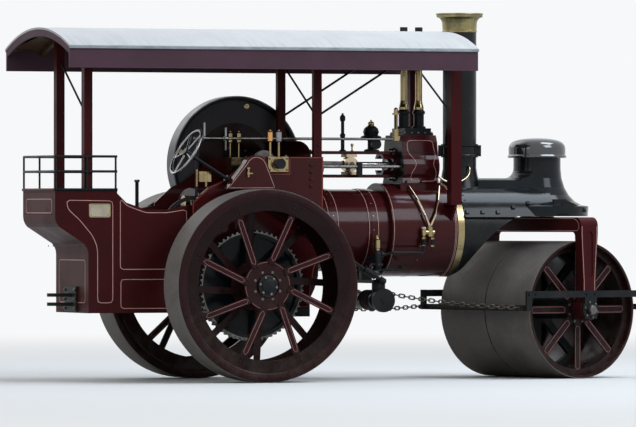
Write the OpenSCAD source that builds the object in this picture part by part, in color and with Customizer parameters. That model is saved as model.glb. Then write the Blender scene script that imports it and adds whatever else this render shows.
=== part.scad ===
// Steam road roller: boiler, smokebox and tender on two rear rolls and a steered front roll,
// with a single cylinder, a flywheel and a full-length canopy. Millimetres, +X forward, +Y left.
// Sizes along X below are measured from the rear axle; the whole model is then moved along X so
// that the origin is on the ground under the middle of its length.

/* [Layout] */
// Rear axle to steering pivot
wheelbase = 3000; // [2800:10:3200]
// Width over the two rear rolls
overall_w = 2110; // [2060:5:2240]
// Height of the boiler's axis
boiler_z = 1320; // [1290:5:1340]
// Angle at which the front roll stands steered to the left
steer_rest = 16.5; // [5:0.5:20]

/* [Rear rolls] */
// Rear roll diameter
rear_d = 1676; // [1600:4:1700]
// Rear roll width
rear_w = 380; // [340:5:385]
// Rear axle diameter
rear_axle_d = 120; // [100:2:130]
// Spokes in each face of a rear roll
spokes = 8; // [6:1:10]
// Rolled plate thickness of every roll
roll_wall = 24; // [18:1:30]

/* [Front roll and fork] */
// Front roll diameter
front_d = 1220; // [1160:4:1236]
// Length over both halves of the front roll
front_l = 1230; // [1180:5:1240]
// Gap between the two halves
front_gap = 12; // [8:1:20]
// Front axle diameter
front_axle_d = 90; // [70:2:100]
// Steering post diameter
post_pin_d = 130; // [100:2:140]
// Thickness of a fork leg
leg_t = 85; // [70:1:100]
// Width of a fork leg, fore and aft
leg_w = 196; // [160:2:220]
// Half length of the scraper frame
frame_half_l = 745; // [710:5:800]

/* [Boiler] */
// Radius of the rear cladding
barrel_r = 360; // [330:5:380]
// Radius of the front cladding
front_clad_r = 415; // [395:5:430]
// Front end of the cladding
clad_front = 2117; // [2080:1:2140]
// Step from the rear cladding to the front cladding
clad_step = 1430; // [1380:5:1480]
// Radius of the smokebox
smokebox_r = 400; // [380:5:410]
// Outside radius of the chimney
chimney_r = 150; // [130:2:165]
// Height of the chimney's lip
chimney_top = 3250; // [3200:5:3300]

/* [Frames] */
// Half width over the hornplates
horn_y = 470; // [455:1:480]
// Hornplate thickness
horn_t = 14; // [10:1:18]
// Height of the crankshaft
crank_z = 1900; // [1890:1:1915]
// Crankshaft, forward of the rear axle
crank_x = 310; // [290:2:330]
// Crankshaft diameter
crank_d = 90; // [80:2:100]
// Flywheel diameter
fly_d = 1220; // [1140:4:1240]
// Flywheel face width
fly_w = 155; // [130:1:160]

/* [Tender] */
// Rear face of the coal bunker, behind the rear axle
bunker_back = 1737; // [1700:1:1745]
// Half width of the tender
tender_y = 414; // [400:1:425]
// Top of the bunker
bunker_top = 1672; // [1650:1:1690]
// Length of the coal bunker
bunker_l = 573; // [520:1:600]
// Height of the footplate
floor_z = 950; // [930:5:970]
// Sheet thickness of the tender
sheet_t = 10; // [8:1:14]

/* [Canopy] */
// Half width of the canopy
canopy_y = 830; // [800:5:860]
// Rear edge of the canopy, behind the rear axle
canopy_back = 1755; // [1750:1:1790]
// Front edge of the canopy
canopy_front = 2075; // [2060:5:2080]
// Bottom of the side boards
valance_z = 2720; // [2690:5:2750]
// Height of the eaves
eaves_z = 2915; // [2895:5:2940]
// Rise of the roof above its eaves
roof_rise = 170; // [140:5:190]
// Side of a rear canopy post
canopy_post = 75; // [65:1:85]
// Side of a front canopy post
front_post = 100; // [90:1:105]

/* [Steering gear] */
// Hand wheel diameter
hand_wheel_d = 460; // [420:5:480]
// Slope of the steering shaft
shaft_slope = 31.4; // [30:0.1:33]
// Place of the chain barrel, forward of the rear axle
barrel_x = 1300; // [1280:5:1330]
// Height of the chain barrel
barrel_z = 700; // [690:1:710]

/* [Hidden] */
$fn = 96;

maroon = [0.26, 0.035, 0.05];
black = [0.06, 0.07, 0.075];
brass = [0.72, 0.52, 0.2];
steel = [0.5, 0.5, 0.5];
grey = [0.62, 0.64, 0.66];
rust = [0.36, 0.32, 0.29];
wood = [0.45, 0.33, 0.2];

// Clearances: a running fit, a seat between two still pieces, and an open gap past a moving piece
fit = 0.08;
seat = 0.3;
open_gap = 8;
eps = 0.01;

// Places that follow from the driving sizes
rear_r = rear_d / 2;
front_r = front_d / 2;
roll_in = overall_w / 2 - rear_w;
roll_out = overall_w / 2;
leg_in = front_l / 2 + 20;
leg_out = leg_in + leg_t;
frame_bar_t = 20;
frame_y = leg_out + frame_bar_t + seat;
front_reach = wheelbase + frame_half_l * cos(steer_rest) + frame_y * sin(steer_rest);
mid_x = (front_reach - canopy_back) / 2;
crown_z = 1300;
crown_top = 1432;
boss_top = crown_top + open_gap;
head_low = boss_top + seat;
smoke_end = wheelbase - 380;
arch_r = 900;
bunker_front = bunker_back - bunker_l;
tank_back = 1430;
tank_low = 600;
horn_in = horn_y - horn_t;
horn_back = -490;
horn_front = 742;
horn_top = 1962;
firebox_front = 700;
firebox_back = -330;
backhead_x = firebox_back;
crank_throw = 127;
fly_in = roll_in - 20 - fly_w;
guide_x0 = 860;
guide_x1 = 1600;
cyl_x0 = 1600;
cyl_x1 = 1945;
cyl_y = 255;
chimney_x = 2245;
bore_axle = rear_axle_d / 2 + fit;
mid_post_w = 50;
cross_y = horn_in - mid_post_w - 2 * seat;
shaft_y = -horn_y - 30;
hand_x = -555;
hand_z = 2000;
shaft_l = (barrel_x + 20 - hand_x) / cos(shaft_slope);

// Turned and flat shapes along each axis
module rod_x(x0, x1, y, z, r) {
    translate([x0, y, z]) rotate([0, 90, 0]) cylinder(h = x1 - x0, r = r);
}
module rod_y(y0, y1, x, z, r) {
    translate([x, y0, z]) rotate([-90, 0, 0]) cylinder(h = y1 - y0, r = r);
}
module rod_z(z0, z1, x, y, r) {
    translate([x, y, z0]) cylinder(h = z1 - z0, r = r);
}
module box(x, y, z) {
    translate([x[0], y[0], z[0]]) cube([x[1] - x[0], y[1] - y[0], z[1] - z[0]]);
}
// A flat outline in X and Z, thick along Y
module plate_y(y0, y1) {
    translate([0, y1, 0]) rotate([90, 0, 0]) linear_extrude(y1 - y0) children();
}
// A flat outline in Y and Z, long along X
module bar_x(x0, x1) {
    translate([x0, 0, 0]) rotate([90, 0, 90]) linear_extrude(x1 - x0) children();
}
// A round rod between two points
module rod(a, b, r) {
    d = b - a;
    len = norm(d);
    translate(a) rotate([0, acos(d[2] / len), atan2(d[1], d[0])]) cylinder(h = len, r = r);
}
// A pipe through a list of points, with round elbows
module pipe_run(p, r) {
    for (i = [0:len(p) - 2]) rod(p[i], p[i + 1], r);
    for (i = [1:len(p) - 2]) translate(p[i]) sphere(r = r + 0.4);
}
// A profile of radius and place, turned about an axis along Y through x and z
module turned_y(x, z) {
    translate([x, 0, z]) rotate([-90, 0, 0]) rotate_extrude() children();
}
module mirror_y() {
    children();
    mirror([0, 1, 0]) children();
}

// Boiler and firebox
module boiler() {
    color(maroon) {
        rod_x(firebox_front, clad_step, 0, boiler_z, barrel_r);
        rod_x(clad_step, clad_front - band_w, 0, boiler_z, front_clad_r);
        for (x = clad_bands) rod_x(x - 50, x + 50, 0, boiler_z, barrel_r + 4);
        saddle();
    }
}
band_w = 60;
clad_bands = [890, 1270];
// The seat of the cylinder on top of the front cladding
module saddle() {
    box([cyl_x0 - 20, cyl_x1 + 20], [-cyl_y + 30, cyl_y - 30], [boiler_z + 300, cyl_low]);
}
cyl_low = 1735;

module boiler_band() {
    color(brass) difference() {
        rod_x(clad_front - band_w, clad_front, 0, boiler_z, front_clad_r + 4);
        rod_x(clad_front - band_w - 1, clad_front + 1, 0, boiler_z, smokebox_r - 40);
    }
}

crown_r = 520;
module firebox() {
    color(maroon) difference() {
        bar_x(firebox_back, firebox_front) intersection() {
            translate([0, boiler_z + barrel_r + 10 - crown_r]) circle(r = crown_r);
            translate([-horn_in, 700]) square([2 * horn_in, 1200]);
        }
        rod_y(-horn_y - 1, horn_y + 1, 0, rear_r, bore_axle + 20);
    }
    color(black) box([firebox_back + 40, firebox_front - 40], [-360, 360], [560, 700]);
}

module hornplate(side) {
    color(maroon) difference() {
        plate_y(side > 0 ? horn_in : -horn_y, side > 0 ? horn_y : -horn_in) polygon([
            [horn_back, 960], [horn_back, 1560], [-330, 1700], [-190, 1760],
            [60, horn_top], [horn_front, horn_top], [horn_front, 1150],
            [660, 980], [600, 640], [-220, 640], [-330, 760]]);
        rod_y(-horn_y - 1, horn_y + 1, 0, rear_r, bore_axle);
        // the slot that the crankshaft is lowered into
        box([crank_x - 64, crank_x + 64], [-horn_y - 1, horn_y + 1], [crank_z - 66, horn_top + 1]);
    }
}

// Smokebox, headstock and chimney
module smokebox() {
    color(black) difference() {
        rod_x(clad_front, smoke_end, 0, boiler_z, smokebox_r);
        // the lower front is an arch about the roll's axle
        rod_y(-500, 500, wheelbase, front_r, arch_r);
        rod_z(boiler_z, 1900, chimney_x, 0, chimney_r - 20);
    }
    // the cleaning door in the arched front
    color(black) translate([wheelbase, 0, front_r]) rotate([0, door_slope, 0]) translate([0, 0, -arch_r - 2]) {
        cylinder(h = 28, r = 150);
        for (k = [0:5]) rotate([0, 0, k * 60]) translate([130, 0, 0]) cylinder(h = 34, r = 11);
    }
}
door_slope = 133;
head_flange_z = 1434;
web_top = 1779;
web_y = 190;
module head_web() {
    polygon([[-web_y, 1600], [web_y, 1600], [web_y, web_top - 16], [web_y - 16, web_top],
        [16 - web_y, web_top], [-web_y, web_top - 16]]);
}
// A clevis on the bell and the bar that it holds, out past the rim
module head_bracket() {
    translate([wheelbase + 60, -345, 0]) {
        for (y = [-22, 10]) box([-60, 60], [y - 6, y + 6], [1530, 1592]);
        rod_y(-34, 22, 30, 1568, 14);
        plate_y(-14, 2) polygon([
            [0, 1588], [60, 1588], [250, 1508], [262, 1494], [262, 1478], [248, 1478], [240, 1486], [50, 1560], [0, 1560]]);
    }
}

module headstock() {
    color(black) difference() {
        union() {
            bar_x(clad_front + 4, wheelbase) intersection() {
                translate([0, boiler_z]) circle(r = smokebox_r + 28);
                translate([-smokebox_r - 28, head_flange_z]) square([2 * smokebox_r + 56, 400]);
            }
            // the flange that the saddle is bolted down by
            bar_x(clad_front + 4, smoke_end) intersection() {
                translate([0, boiler_z]) circle(r = smokebox_r + 44);
                translate([-smokebox_r - 44, head_flange_z]) square([2 * smokebox_r + 88, 22]);
            }
            translate([wheelbase, 0, 0]) rotate_extrude() polygon(head_profile());
            bar_x(chimney_x + 100, wheelbase) head_web();
            intersection() {
                translate([wheelbase, 0, 0]) rotate_extrude() polygon(concat([[0, 1700], [302, 1700]],
                    [for (a = [0:15:90]) [302 - 90 * sin(a), web_top + 90 * (1 - cos(a))]], [[0, web_top + 90]]));
                box([wheelbase - 400, wheelbase], [-web_y, web_y], [1650, 2000]);
            }
            head_bracket();
        }
        rod_x(clad_front, smoke_end, 0, boiler_z, smokebox_r + seat);
        box([smoke_end - eps, wheelbase + 600], [-500, 500], [1300, head_low]);
        rod_z(1300, 1960, wheelbase, 0, post_pin_d / 2 + fit);
        rod_z(1500, 1900, chimney_x, 0, chimney_r + 60);
    }
}
function head_profile() = concat(
    [[0, head_low], [455, head_low], [462, 1530]],
    [for (a = [0:15:90]) [212 + 250 * (1 - sin(a)), 1530 + 340 * (1 - cos(a))]],
    [[212, 2020], [244, 2032], [252, 2046], [244, 2060]],
    [for (a = [12:12:84]) [236 * cos(a), 2060 + 78 * sin(a)]],
    [[0, 2138]]);

module chimney() {
    color(black) difference() {
        translate([chimney_x, 0, 0]) rotate_extrude() polygon([
            [chimney_r - 20, 1665], [chimney_r + 58, 1665], [chimney_r + 34, 1735], [chimney_r + 12, 1800],
            [chimney_r, 1870], [chimney_r, chimney_cap_z], [chimney_r - 14, chimney_cap_z],
            [chimney_r - 14, 1665]]);
        rod_x(clad_front - 100, wheelbase, 0, boiler_z, smokebox_r + seat);
        rod_x(clad_front - 100, clad_front + seat, 0, boiler_z, front_clad_r + 4 + seat);
    }
    color(black) translate([chimney_x, 0, 0]) {
        rotate_extrude() polygon([
            [chimney_r - 1, 1965], [chimney_r + 16, 1965], [chimney_r + 16, 1985], [chimney_r + 9, 1992],
            [chimney_r + 9, 2058], [chimney_r + 16, 2065], [chimney_r + 16, 2085], [chimney_r - 1, 2085]]);
        // the collar's two bolting lugs
        for (a = [-22, 158]) rotate([0, 0, a]) for (y = [-16, 4])
            box([chimney_r, chimney_r + 42], [y, y + 12], [1975, 2075]);
    }
}
chimney_cap_z = chimney_top - 170;

module chimney_cap() {
    z = chimney_cap_z + seat;
    color(brass) translate([chimney_x, 0, 0]) rotate_extrude() polygon(concat(
        [[chimney_r - 30, z], [chimney_r + 5, z], [chimney_r + 5, z + 16], [chimney_r + 2, z + 20], [chimney_r + 5, z + 70]],
        [for (a = [10:16:90]) [chimney_r + 55 - 50 * cos(a), chimney_top - 96 + 62 * sin(a)]],
        [[chimney_r + 55, chimney_top], [chimney_r - 4, chimney_top], [chimney_r - 30, z + 60]]));
}

// Cylinder and its fittings
module cylinder_block() {
    color(maroon) {
        bar_x(cyl_x0, cyl_x1) polygon(cyl_profile());
        for (x = [cyl_x0 - 14, cyl_x1]) rod_x(x, x + 14, 0, crank_z, 150);
        rod_x(cyl_x1 + 13, cyl_x1 + 26, 0, crank_z, 88);
        for (k = [0:7]) for (x = [cyl_x0 - 26, cyl_x1 + 13]) translate([0, 0, crank_z]) rotate([k * 45, 0, 0])
            rod_x(x, x + 13, 0, 133, 11);
    }
}
function cyl_profile() = concat(
    [[-cyl_y + 20, cyl_low]],
    [for (a = [-50:20:50]) [-cyl_y + 110 - 110 * cos(a), crank_z - 20 + 130 * sin(a)]],
    [[-cyl_y + 60, 2100], [-cyl_y + 90, 2160], [cyl_y - 90, 2160], [cyl_y - 60, 2100]],
    [for (a = [50:-20:-50]) [cyl_y - 110 + 110 * cos(a), crank_z - 20 + 130 * sin(a)]],
    [[cyl_y - 20, cyl_low]]);

module valve_chest() {
    color(black) {
        box([1640, 1920], [-165, 165], [2160 + seat, 2178]);
        box([1655, 1905], [-150, 150], [2177, 2222]);
        for (x = pipe_x) translate([x, 0, 0]) rotate_extrude() polygon([
            [0, 2220], [62, 2220], [62, 2238], [46, 2244], [46, 2345], [56, 2352], [56, 2372], [40, 2390], [0, 2390]]);
    }
}
pipe_x = [1705, 1850];

module steam_fittings() {
    // the two safety valve columns, up through the roof
    color(brass) for (x = pipe_x) translate([x, 0, 0]) rotate_extrude() polygon([
        [0, 2390 + seat], [44, 2390 + seat], [44, 2410], [36, 2440], [31, 2470], [31, 3050], [0, 3050]]);
    color(black) for (x = pipe_x) rod_z(3050, 3122, x, 0, 34);
    // the lubricator: a base, a sight glass between two stays, and a cap
    color(brass) translate([1568, -150, 0]) {
        box([-23, cyl_x0 - 1568 - seat], [-20, 20], [2110, 2150]);
        rod_z(2149, 2212, 0, 0, 26);
        for (y = [-24, 24]) rod_z(2205, 2345, 0, y, 6);
        rod_z(2211, 2341, 0, 0, 17);
        rod_z(2340, 2356, 0, 0, 34);
        rod_z(2355, 2385, 0, 0, 20);
        translate([0, 0, 2385]) sphere(r = 20);
    }
}

module governor() {
    color(black) translate([1390, 0, 0]) {
        rotate_extrude() polygon([
            [0, crank_z + 118 + seat], [62, crank_z + 118 + seat], [62, crank_z + 130], [30, crank_z + 142], [30, 2112],
            [92, 2120], [96, 2134], [88, 2150], [62, 2160], [72, 2190], [60, 2222], [30, 2246], [18, 2262], [0, 2262]]);
        // the pulley side: a short cross shaft and its bevel case
        rod_y(-120, 0, 0, 2080, 16);
        rod_y(-132, -110, 0, 2080, 46);
    }
    color(steel) {
        for (y = [-22, 22]) translate([1390, y, 2262]) sphere(r = 20);
        rod_z(2260, 2296, 1390, 0, 9);
    }
}

module motion_guide() {
    color(maroon) {
        for (z = [crank_z + 90, crank_z - 118]) box([guide_x0 - 60, guide_x1 - 14 - seat], [-70, 70], [z, z + 28]);
        difference() {
            rod_x(guide_x1 - 130, guide_x1 - 14 - seat, 0, crank_z, 112);
            rod_x(guide_x1 - 131, guide_x1, 0, crank_z, 80);
            box([guide_x1 - 131, guide_x1 - 40], [-140, 140], [crank_z - 50, crank_z + 50]);
        }
        box([horn_front - 2, guide_x0 - 60 + eps], [-110, 110], [crank_z - 130, crank_z - 90]);
        difference() {
            box([horn_front - 20, horn_front], [-cross_y, cross_y], [1700, horn_top]);
            box([horn_front - 21, horn_front + 1], [-90, 90], [crank_z - 80, horn_top + 1]);
            for (s = [-1, 1]) rod_x(horn_front - 21, horn_front + 1, s * 190, crank_z - 20, 36);
        }
    }
    // the valve rod's guide, hung from the lower bar
    color(black) difference() {
        union() {
            box([1180, 1220], [-215, -69], [crank_z - 118, crank_z - 98]);
            box([1180, 1220], [-215, -165], [crank_z - 118, crank_z + 20]);
        }
        rod_x(1179, 1221, -190, crank_z - 20, 16 + fit);
    }
}

module motion_rods() {
    // the crosshead and its slippers
    color(brass) difference() {
        union() {
            box([1130, 1230], [-66, 66], [crank_z - 90 + seat, crank_z - 64]);
            box([1130, 1230], [-66, 66], [crank_z + 64, crank_z + 90 - seat]);
            rod_y(-50, 50, 1180, crank_z, 66);
        }
        box([1100, 1180], [-30, 30], [crank_z - 34, crank_z + 34]);
    }
    color(steel) {
        rod_y(-72, 72, 1180, crank_z, 24);
        rod_x(1235, cyl_x0 - 14, 0, crank_z, 24);
        rod_x(cyl_x0 - 60, cyl_x0 - 14, 0, crank_z, 46);
        // the connecting rod, a stub clear of the crank
        plate_y(-24, 24) polygon([[rod_end_x, crank_z - 36], [1180, crank_z - 26], [1180, crank_z + 26], [rod_end_x, crank_z + 36]]);
        // valve rod, link and lifting arm
        rod_x(800, cyl_x0 - seat, -190, crank_z - 20, 16);
        plate_y(-204, -176) difference() {
            translate([700, crank_z - 20]) circle(r = 160);
            translate([680, crank_z - 20]) circle(r = 148);
            translate([400, 1500]) square([350, 700]);
            translate([700, crank_z + 90]) square(200);
            translate([700, crank_z - 330]) square(200);
        }
        rod_x(-350, 1545 - seat, -150, 2124, 12);
        // the handles on the regulator rod
        for (h = [[-250, 2170, 2262], [-50, 2060, 2218]]) {
            rod_z(h[1] - 40, h[2], h[0], -150, 8);
            rod_x(h[0] - 16, h[0] + 16, -150, 2124, 18);
        }
    }
}
rod_end_x = crank_x + crank_throw + 62 + open_gap;

module crank_bearings() {
    mirror_y() {
        color(brass) difference() {
            box([crank_x - 95, crank_x + 95], [horn_in - 60, horn_y + 22], [crank_z - 70, crank_z + 62]);
            box([crank_x - 96, crank_x + 96], [horn_in - seat, horn_y + seat], [crank_z - 200, crank_z + 200]);
            rod_y(horn_in - 70, horn_y + 60, crank_x, crank_z, crank_d / 2 + fit);
        }
        // oil cups on tall stems
        for (c = [[238, 22], [319, 25]]) color(brass) translate([c[0], horn_y + 11, 0]) rotate_extrude() polygon([
            [0, crank_z + 61], [9, crank_z + 61], [9, 2088], [c[1], 2098], [c[1], 2176],
            [c[1] - 6, 2184], [8, 2188], [8, 2196], [0, 2196]]);
    }
}

module crank_guard() {
    color(maroon) bar_guard();
}
module bar_guard() {
    plate_y(-horn_in + seat, horn_in - seat) difference() {
        union() {
            translate([500, 1970]) circle(r = 132);
            translate([400, 1970]) square([100, 132]);
        }
        translate([500, 1970]) circle(r = 129);
        translate([399, 1970 - 1]) square([101, 130]);
        translate([300, 1800]) square([400, 140]);
        translate([300, 1800]) square([100, 400]);
    }
}

module gear_cover() {
    color(maroon) difference() {
        plate_y(-632, -536) cover_outline(0);
        plate_y(-620, -530) cover_outline(12);
    }
    color(maroon) for (p = [[190, 1692], [-195, 1692], [50, 1955]])
        rod_y(-560, -horn_y - seat, p[0], p[1], 10);
}
module cover_outline(inset) {
    difference() {
        union() {
            translate([50, 1865]) circle(r = 108 - inset);
            polygon([[-50 + inset * 0.9, 1905], [150 - inset, 1905], [235 - inset, 1680], [-225 + inset * 1.3, 1680]]);
        }
        translate([-400, 1500]) square([900, 180]);
    }
}

pump_x = 1270;
pump_y = -435;
module feed_pump() {
    color(black) translate([pump_x, pump_y, 0]) rotate_extrude() polygon([
        [0, 960], [46, 960], [46, 976], [36, 984], [36, 1112], [30, 1128], [16, 1140], [0, 1140]]);
    color(brass) translate([pump_x, pump_y, 0]) rotate_extrude() polygon([
        [0, 1139], [24, 1139], [24, 1156], [31, 1160], [31, 1232], [20, 1240], [14, 1252], [0, 1252]]);
    color(black) difference() {
        box([pump_x - 40, pump_x + 40], [pump_y + 10, -200], [1030, 1090]);
        rod_x(1200, 1340, 0, boiler_z, barrel_r + 4 + seat);
    }
}

drain_y = [-240, -360, -440, -455];
drain_z = [1705, 1580, 1450, 1340];
clack_x = 1740;
clack_y = -455;
module boiler_pipes() {
    color(steel) {
        // the drains from both ends of the cylinder down to the clack box
        for (x = [1655, 1945]) pipe_run([for (i = [0:len(drain_y) - 1])
            [x + (clack_x + 26 - x) * i / 3, drain_y[i], drain_z[i]]], 11);
        rod_z(1130, 1290, clack_x + 50, clack_y, 11);
    }
    color(brass) difference() {
        union() {
            rod_x(clack_x - 50, clack_x + 66, clack_y, 1300, 21);
            rod_z(1262, 1345, clack_x + 26, clack_y, 27);
            rod_z(1275, 1330, clack_x - 34, clack_y, 25);
            rod_y(clack_y, -300, clack_x + 26, 1300, 27);
        }
        rod_x(1600, 1950, 0, boiler_z, front_clad_r + seat);
    }
    color(black) {
        rod_z(1119, 1276, clack_x - 34, clack_y, 13);
        rod_z(1186, 1212, clack_x - 34, clack_y, 28);
        pipe_run([[pump_x + 50, pump_y, 1106], [1350, pump_y, 1106], [1410, clack_y, 1119], [clack_x - 34, clack_y, 1119]], 12);
        rod_x(pump_x + 36 + seat, pump_x + 60, pump_y, 1106, 19);
        pipe_run([[pump_x + 47.75, pump_y, 968], [1400, clack_y, 968], [1530, -380, 968], [1530, -330, 1000]], 11);
    }
}

// Tender
module tender_side_profile() {
    polygon(concat(
        [[-bunker_front, bunker_top], [-bunker_back, bunker_top], [-bunker_back, 1440]],
        [for (a = [0:15:45]) [-bunker_back + 130 * (1 - cos(a)), 1440 - 130 * sin(a)]],
        [for (a = [45:-15:0]) [-tank_back - 130 * (1 - cos(a)), 1110 + 130 * sin(a)]],
        [[-tank_back, tank_low], [-bunker_front, tank_low]]));
}

module tender_tank() {
    color(maroon) difference() {
        union() {
            intersection() {
                plate_y(-tender_y, tender_y) tender_side_profile();
                box([-bunker_back - 1, 0], [-tender_y, tender_y], [tank_low, 1180]);
            }
            box([-bunker_front, horn_back], [-tender_y, tender_y], [tank_low, floor_z - 20]);
        }
    }
    color(black) box([-bunker_front + seat, backhead_x], [-tender_y, tender_y], [floor_z - 20, floor_z]);
}

module bunker() {
    color(maroon) difference() {
        intersection() {
            plate_y(-tender_y, tender_y) tender_side_profile();
            box([-bunker_back - 1, 0], [-tender_y, tender_y], [1180, bunker_top]);
        }
        plate_y(-tender_y + sheet_t, tender_y - sheet_t) polygon([
            [-bunker_front - sheet_t, bunker_top + 1], [-bunker_back + sheet_t, bunker_top + 1],
            [-bunker_back + sheet_t, 1440], [-1500, 1230], [-bunker_front - sheet_t, 1230]]);
    }
    color(black) mirror_y() {
        rod_x(-bunker_back, -bunker_front, tender_y, bunker_top, 12);
    }
    color(black) rod_y(-tender_y, tender_y, -bunker_back, bunker_top, 12);
}

module coal_rails() {
    rail_y = tender_y - 6;
    color(black) {
        for (z = [1830, 1960]) {
            mirror_y() rod_x(-bunker_back + 6, -bunker_front, rail_y, z, 11);
            rod_y(-rail_y, rail_y, -bunker_back + 6, z, 11);
        }
        for (x = [-bunker_back + 6, -1440, -bunker_front - 12]) mirror_y()
            rod_z(bunker_top + 12, 1960, x, rail_y, 9);
        rod_z(bunker_top + 12, 1960, -bunker_back + 6, 0, 9);
    }
}

module tender_sides() {
    color(maroon) mirror_y() plate_y(tender_y - sheet_t, tender_y) polygon([
        [-bunker_front + seat, floor_z], [-bunker_front + seat, 1640], [-1080, 1560], [-900, 1500],
        [-700, 1500], [horn_back + 100, 1560], [horn_back + 100, floor_z]]);
}

module controls() {
    x = backhead_x - seat;
    color(black) {
        // reversing lever in its quadrant, brake pillar
        rod([-440, -380, floor_z + 2], [-400, -380, 2090], 13);
        plate_y(sheet_t - tender_y + seat, sheet_t - tender_y + 9) difference() {
            translate([-430, 1290]) circle(r = 330);
            translate([-430, 1290]) circle(r = 296);
            translate([-900, 900]) square([1000, 560]);
            translate([backhead_x - 12, 900]) square(800);
        }
        box([-445, -385], [-398, -372], [floor_z, 1010]);
        rod_z(floor_z, 1760, -700, 340, 16);
        rod_y(300, 380, -700, 1752, 12);
        // the fire door, its hinge and handle
        rod_x(x - 16, x, 0, 1270, 165);
        rod_x(x - 26, x - 15, 0, 1270, 120);
        box([x - 24, x], [150, 215], [1240, 1300]);
        rod_x(x - 60, x - 20, -100, 1270, 10);
    }
    color(brass) {
        // gauge, gauge glasses and the valve block
        rod_x(x - 40, x, 60, 1560, 66);
        for (y = [-180, -120]) {
            rod_z(1440, 1610, x - 34, y, 10);
            for (z = [1445, 1590]) rod_x(x - 34, x, y, z, 14);
        }
        difference() {
            box([-402, -292], [-420, -385], [1742, 1832]);
            for (c = [-366, -329]) box([c - 2, c + 2], [-421, -417], [1741, 1833]);
            box([-403, -291], [-421, -417], [1785, 1789]);
        }
    }
    color(steel) rod([-330, -400, 1744], [-330, -400, 1640], 10);
}

module drawbar() {
    color(black) difference() {
        union() {
            box([-tank_back - 20, -tank_back], [-150, 150], [610, 830]);
            for (z = [660, 740]) {
                box([-tank_back - 170, -tank_back - 10], [-60, 60], [z, z + 30]);
                rod_z(z, z + 30, -tank_back - 170, 0, 60);
            }
        }
        rod_z(600, 800, -tank_back - 170, 0, 22);
    }
}

module rear_axle() {
    color(steel) rod_y(-roll_out + 25, roll_out - 25, 0, rear_r, rear_axle_d / 2);
    color(black) mirror_y() {
        rod_y(horn_y + seat, roll_in - 120, 0, rear_r, rear_axle_d / 2 + 45);
        rod_y(roll_out - 37, roll_out - 20, 0, rear_r, rear_axle_d / 2 + 30);
    }
}

// Canopy
// Each pair of posts: place along X, half spacing, size along X, size along Y, foot
post_x = 0;
post_y = 1;
post_dx = 2;
post_dy = 3;
post_foot = 4;
rear_posts = [-1422, tender_y - sheet_t - 12 - canopy_post / 2, canopy_post, canopy_post, 1230 + seat];
mid_posts = [698, horn_in - seat - mid_post_w / 2, canopy_post, mid_post_w, 1560];
front_posts = [1994, 470, front_post, front_post, 1560];
hoop_h = 60;
roof_t = 18;
// One post on each side, its head cut to the curve of the hoops
module post_pair(p) {
    hx = p[post_dx] / 2;
    hy = p[post_dy] / 2;
    color(maroon) mirror_y() intersection() {
        box([p[post_x] - hx, p[post_x] + hx], [p[post_y] - hy, p[post_y] + hy], [p[post_foot], eaves_z + roof_rise]);
        rod_x(p[post_x] - hx - 1, p[post_x] + hx + 1, 0, roof_axis_z, roof_r - roof_t - hoop_h - 2 * seat, $fn = 360);
    }
}
module posts_rear() { post_pair(rear_posts); }
module posts_middle() { post_pair(mid_posts); }
// The front posts stand on brackets bolted to the cladding
module posts_front() {
    post_pair(front_posts);
    x = front_posts[post_x];
    color(maroon) mirror_y() difference() {
        union() {
            box([x - 50, x + 50], [300, front_posts[post_y] + 50], [1540, 1560 + eps]);
            plate_x_bracket(x - 12, x + 12);
        }
        rod_x(clad_step, clad_front, 0, boiler_z, front_clad_r + seat);
    }
}
module plate_x_bracket(x0, x1) {
    bar_x(x0, x1) polygon([[300, 1545], [500, 1545], [500, 1520], [390, 1380], [300, 1380]]);
}

roof_r = (canopy_y * canopy_y + roof_rise * roof_rise) / (2 * roof_rise);
roof_axis_z = eaves_z + roof_rise - roof_r;
module roof_outline(drop) {
    intersection() {
        translate([0, roof_axis_z]) circle(r = roof_r - drop, $fn = 360);
        translate([-canopy_y, eaves_z - 60]) square([2 * canopy_y, roof_rise + 80]);
    }
}
module canopy_roof() {
    color(grey) difference() {
        bar_x(-canopy_back, canopy_front) difference() {
            roof_outline(0);
            roof_outline(roof_t);
            translate([-canopy_y - 1, eaves_z - 70]) square([2 * canopy_y + 2, 60]);
        }
        for (x = pipe_x) rod_z(eaves_z, eaves_z + roof_rise + 10, x, 0, 42);
    }
}

module canopy_boards() {
    color(maroon) {
        mirror_y() box([-canopy_back + 5, canopy_front - 5], [canopy_y - 32, canopy_y - 6],
            [valance_z, roof_axis_z + roof_under(canopy_y - 6) - seat]);
        for (x = [-canopy_back + 5, canopy_front - 27]) bar_x(x, x + 22) hoop_outline(canopy_y - 32);
    }
}
function roof_under(y) = sqrt(pow(roof_r - roof_t, 2) - y * y);
// The curved outline of a hoop that carries the roof, out to a half width
module hoop_outline(half_w) {
    difference() {
        intersection() {
            translate([0, roof_axis_z]) circle(r = roof_r - roof_t - seat, $fn = 360);
            translate([-half_w, valance_z]) square([2 * half_w, 500]);
        }
        translate([0, roof_axis_z]) circle(r = roof_r - roof_t - hoop_h - seat, $fn = 360);
    }
}

module canopy_hoops() {
    color(wood) for (x = [rear_posts[post_x], -715, 0, mid_posts[post_x], 1240, stay_hoop_x, front_posts[post_x]])
        bar_x(x - 20, x + 20) hoop_outline(canopy_y - 32 - seat);
}

stay_hoop_x = (pipe_x[0] + pipe_x[1]) / 2;
module canopy_stays() {
    mx = mid_posts[post_x];
    my = mid_posts[post_y];
    color(black) difference() {
        union() {
            mirror_y() rod([mx, my, 2316], [stay_hoop_x, my, 2985], 10);
            for (p = [rear_posts, mid_posts, front_posts])
                rod([p[post_x], p[post_y], 2820], [p[post_x], -p[post_y], 2310], 9);
        }
        for (p = [rear_posts, mid_posts, front_posts]) mirror_y() post_space(p);
        box([stay_hoop_x - 20 - seat, stay_hoop_x + 40], [-canopy_y, canopy_y], [2800, 3100]);
    }
}
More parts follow.
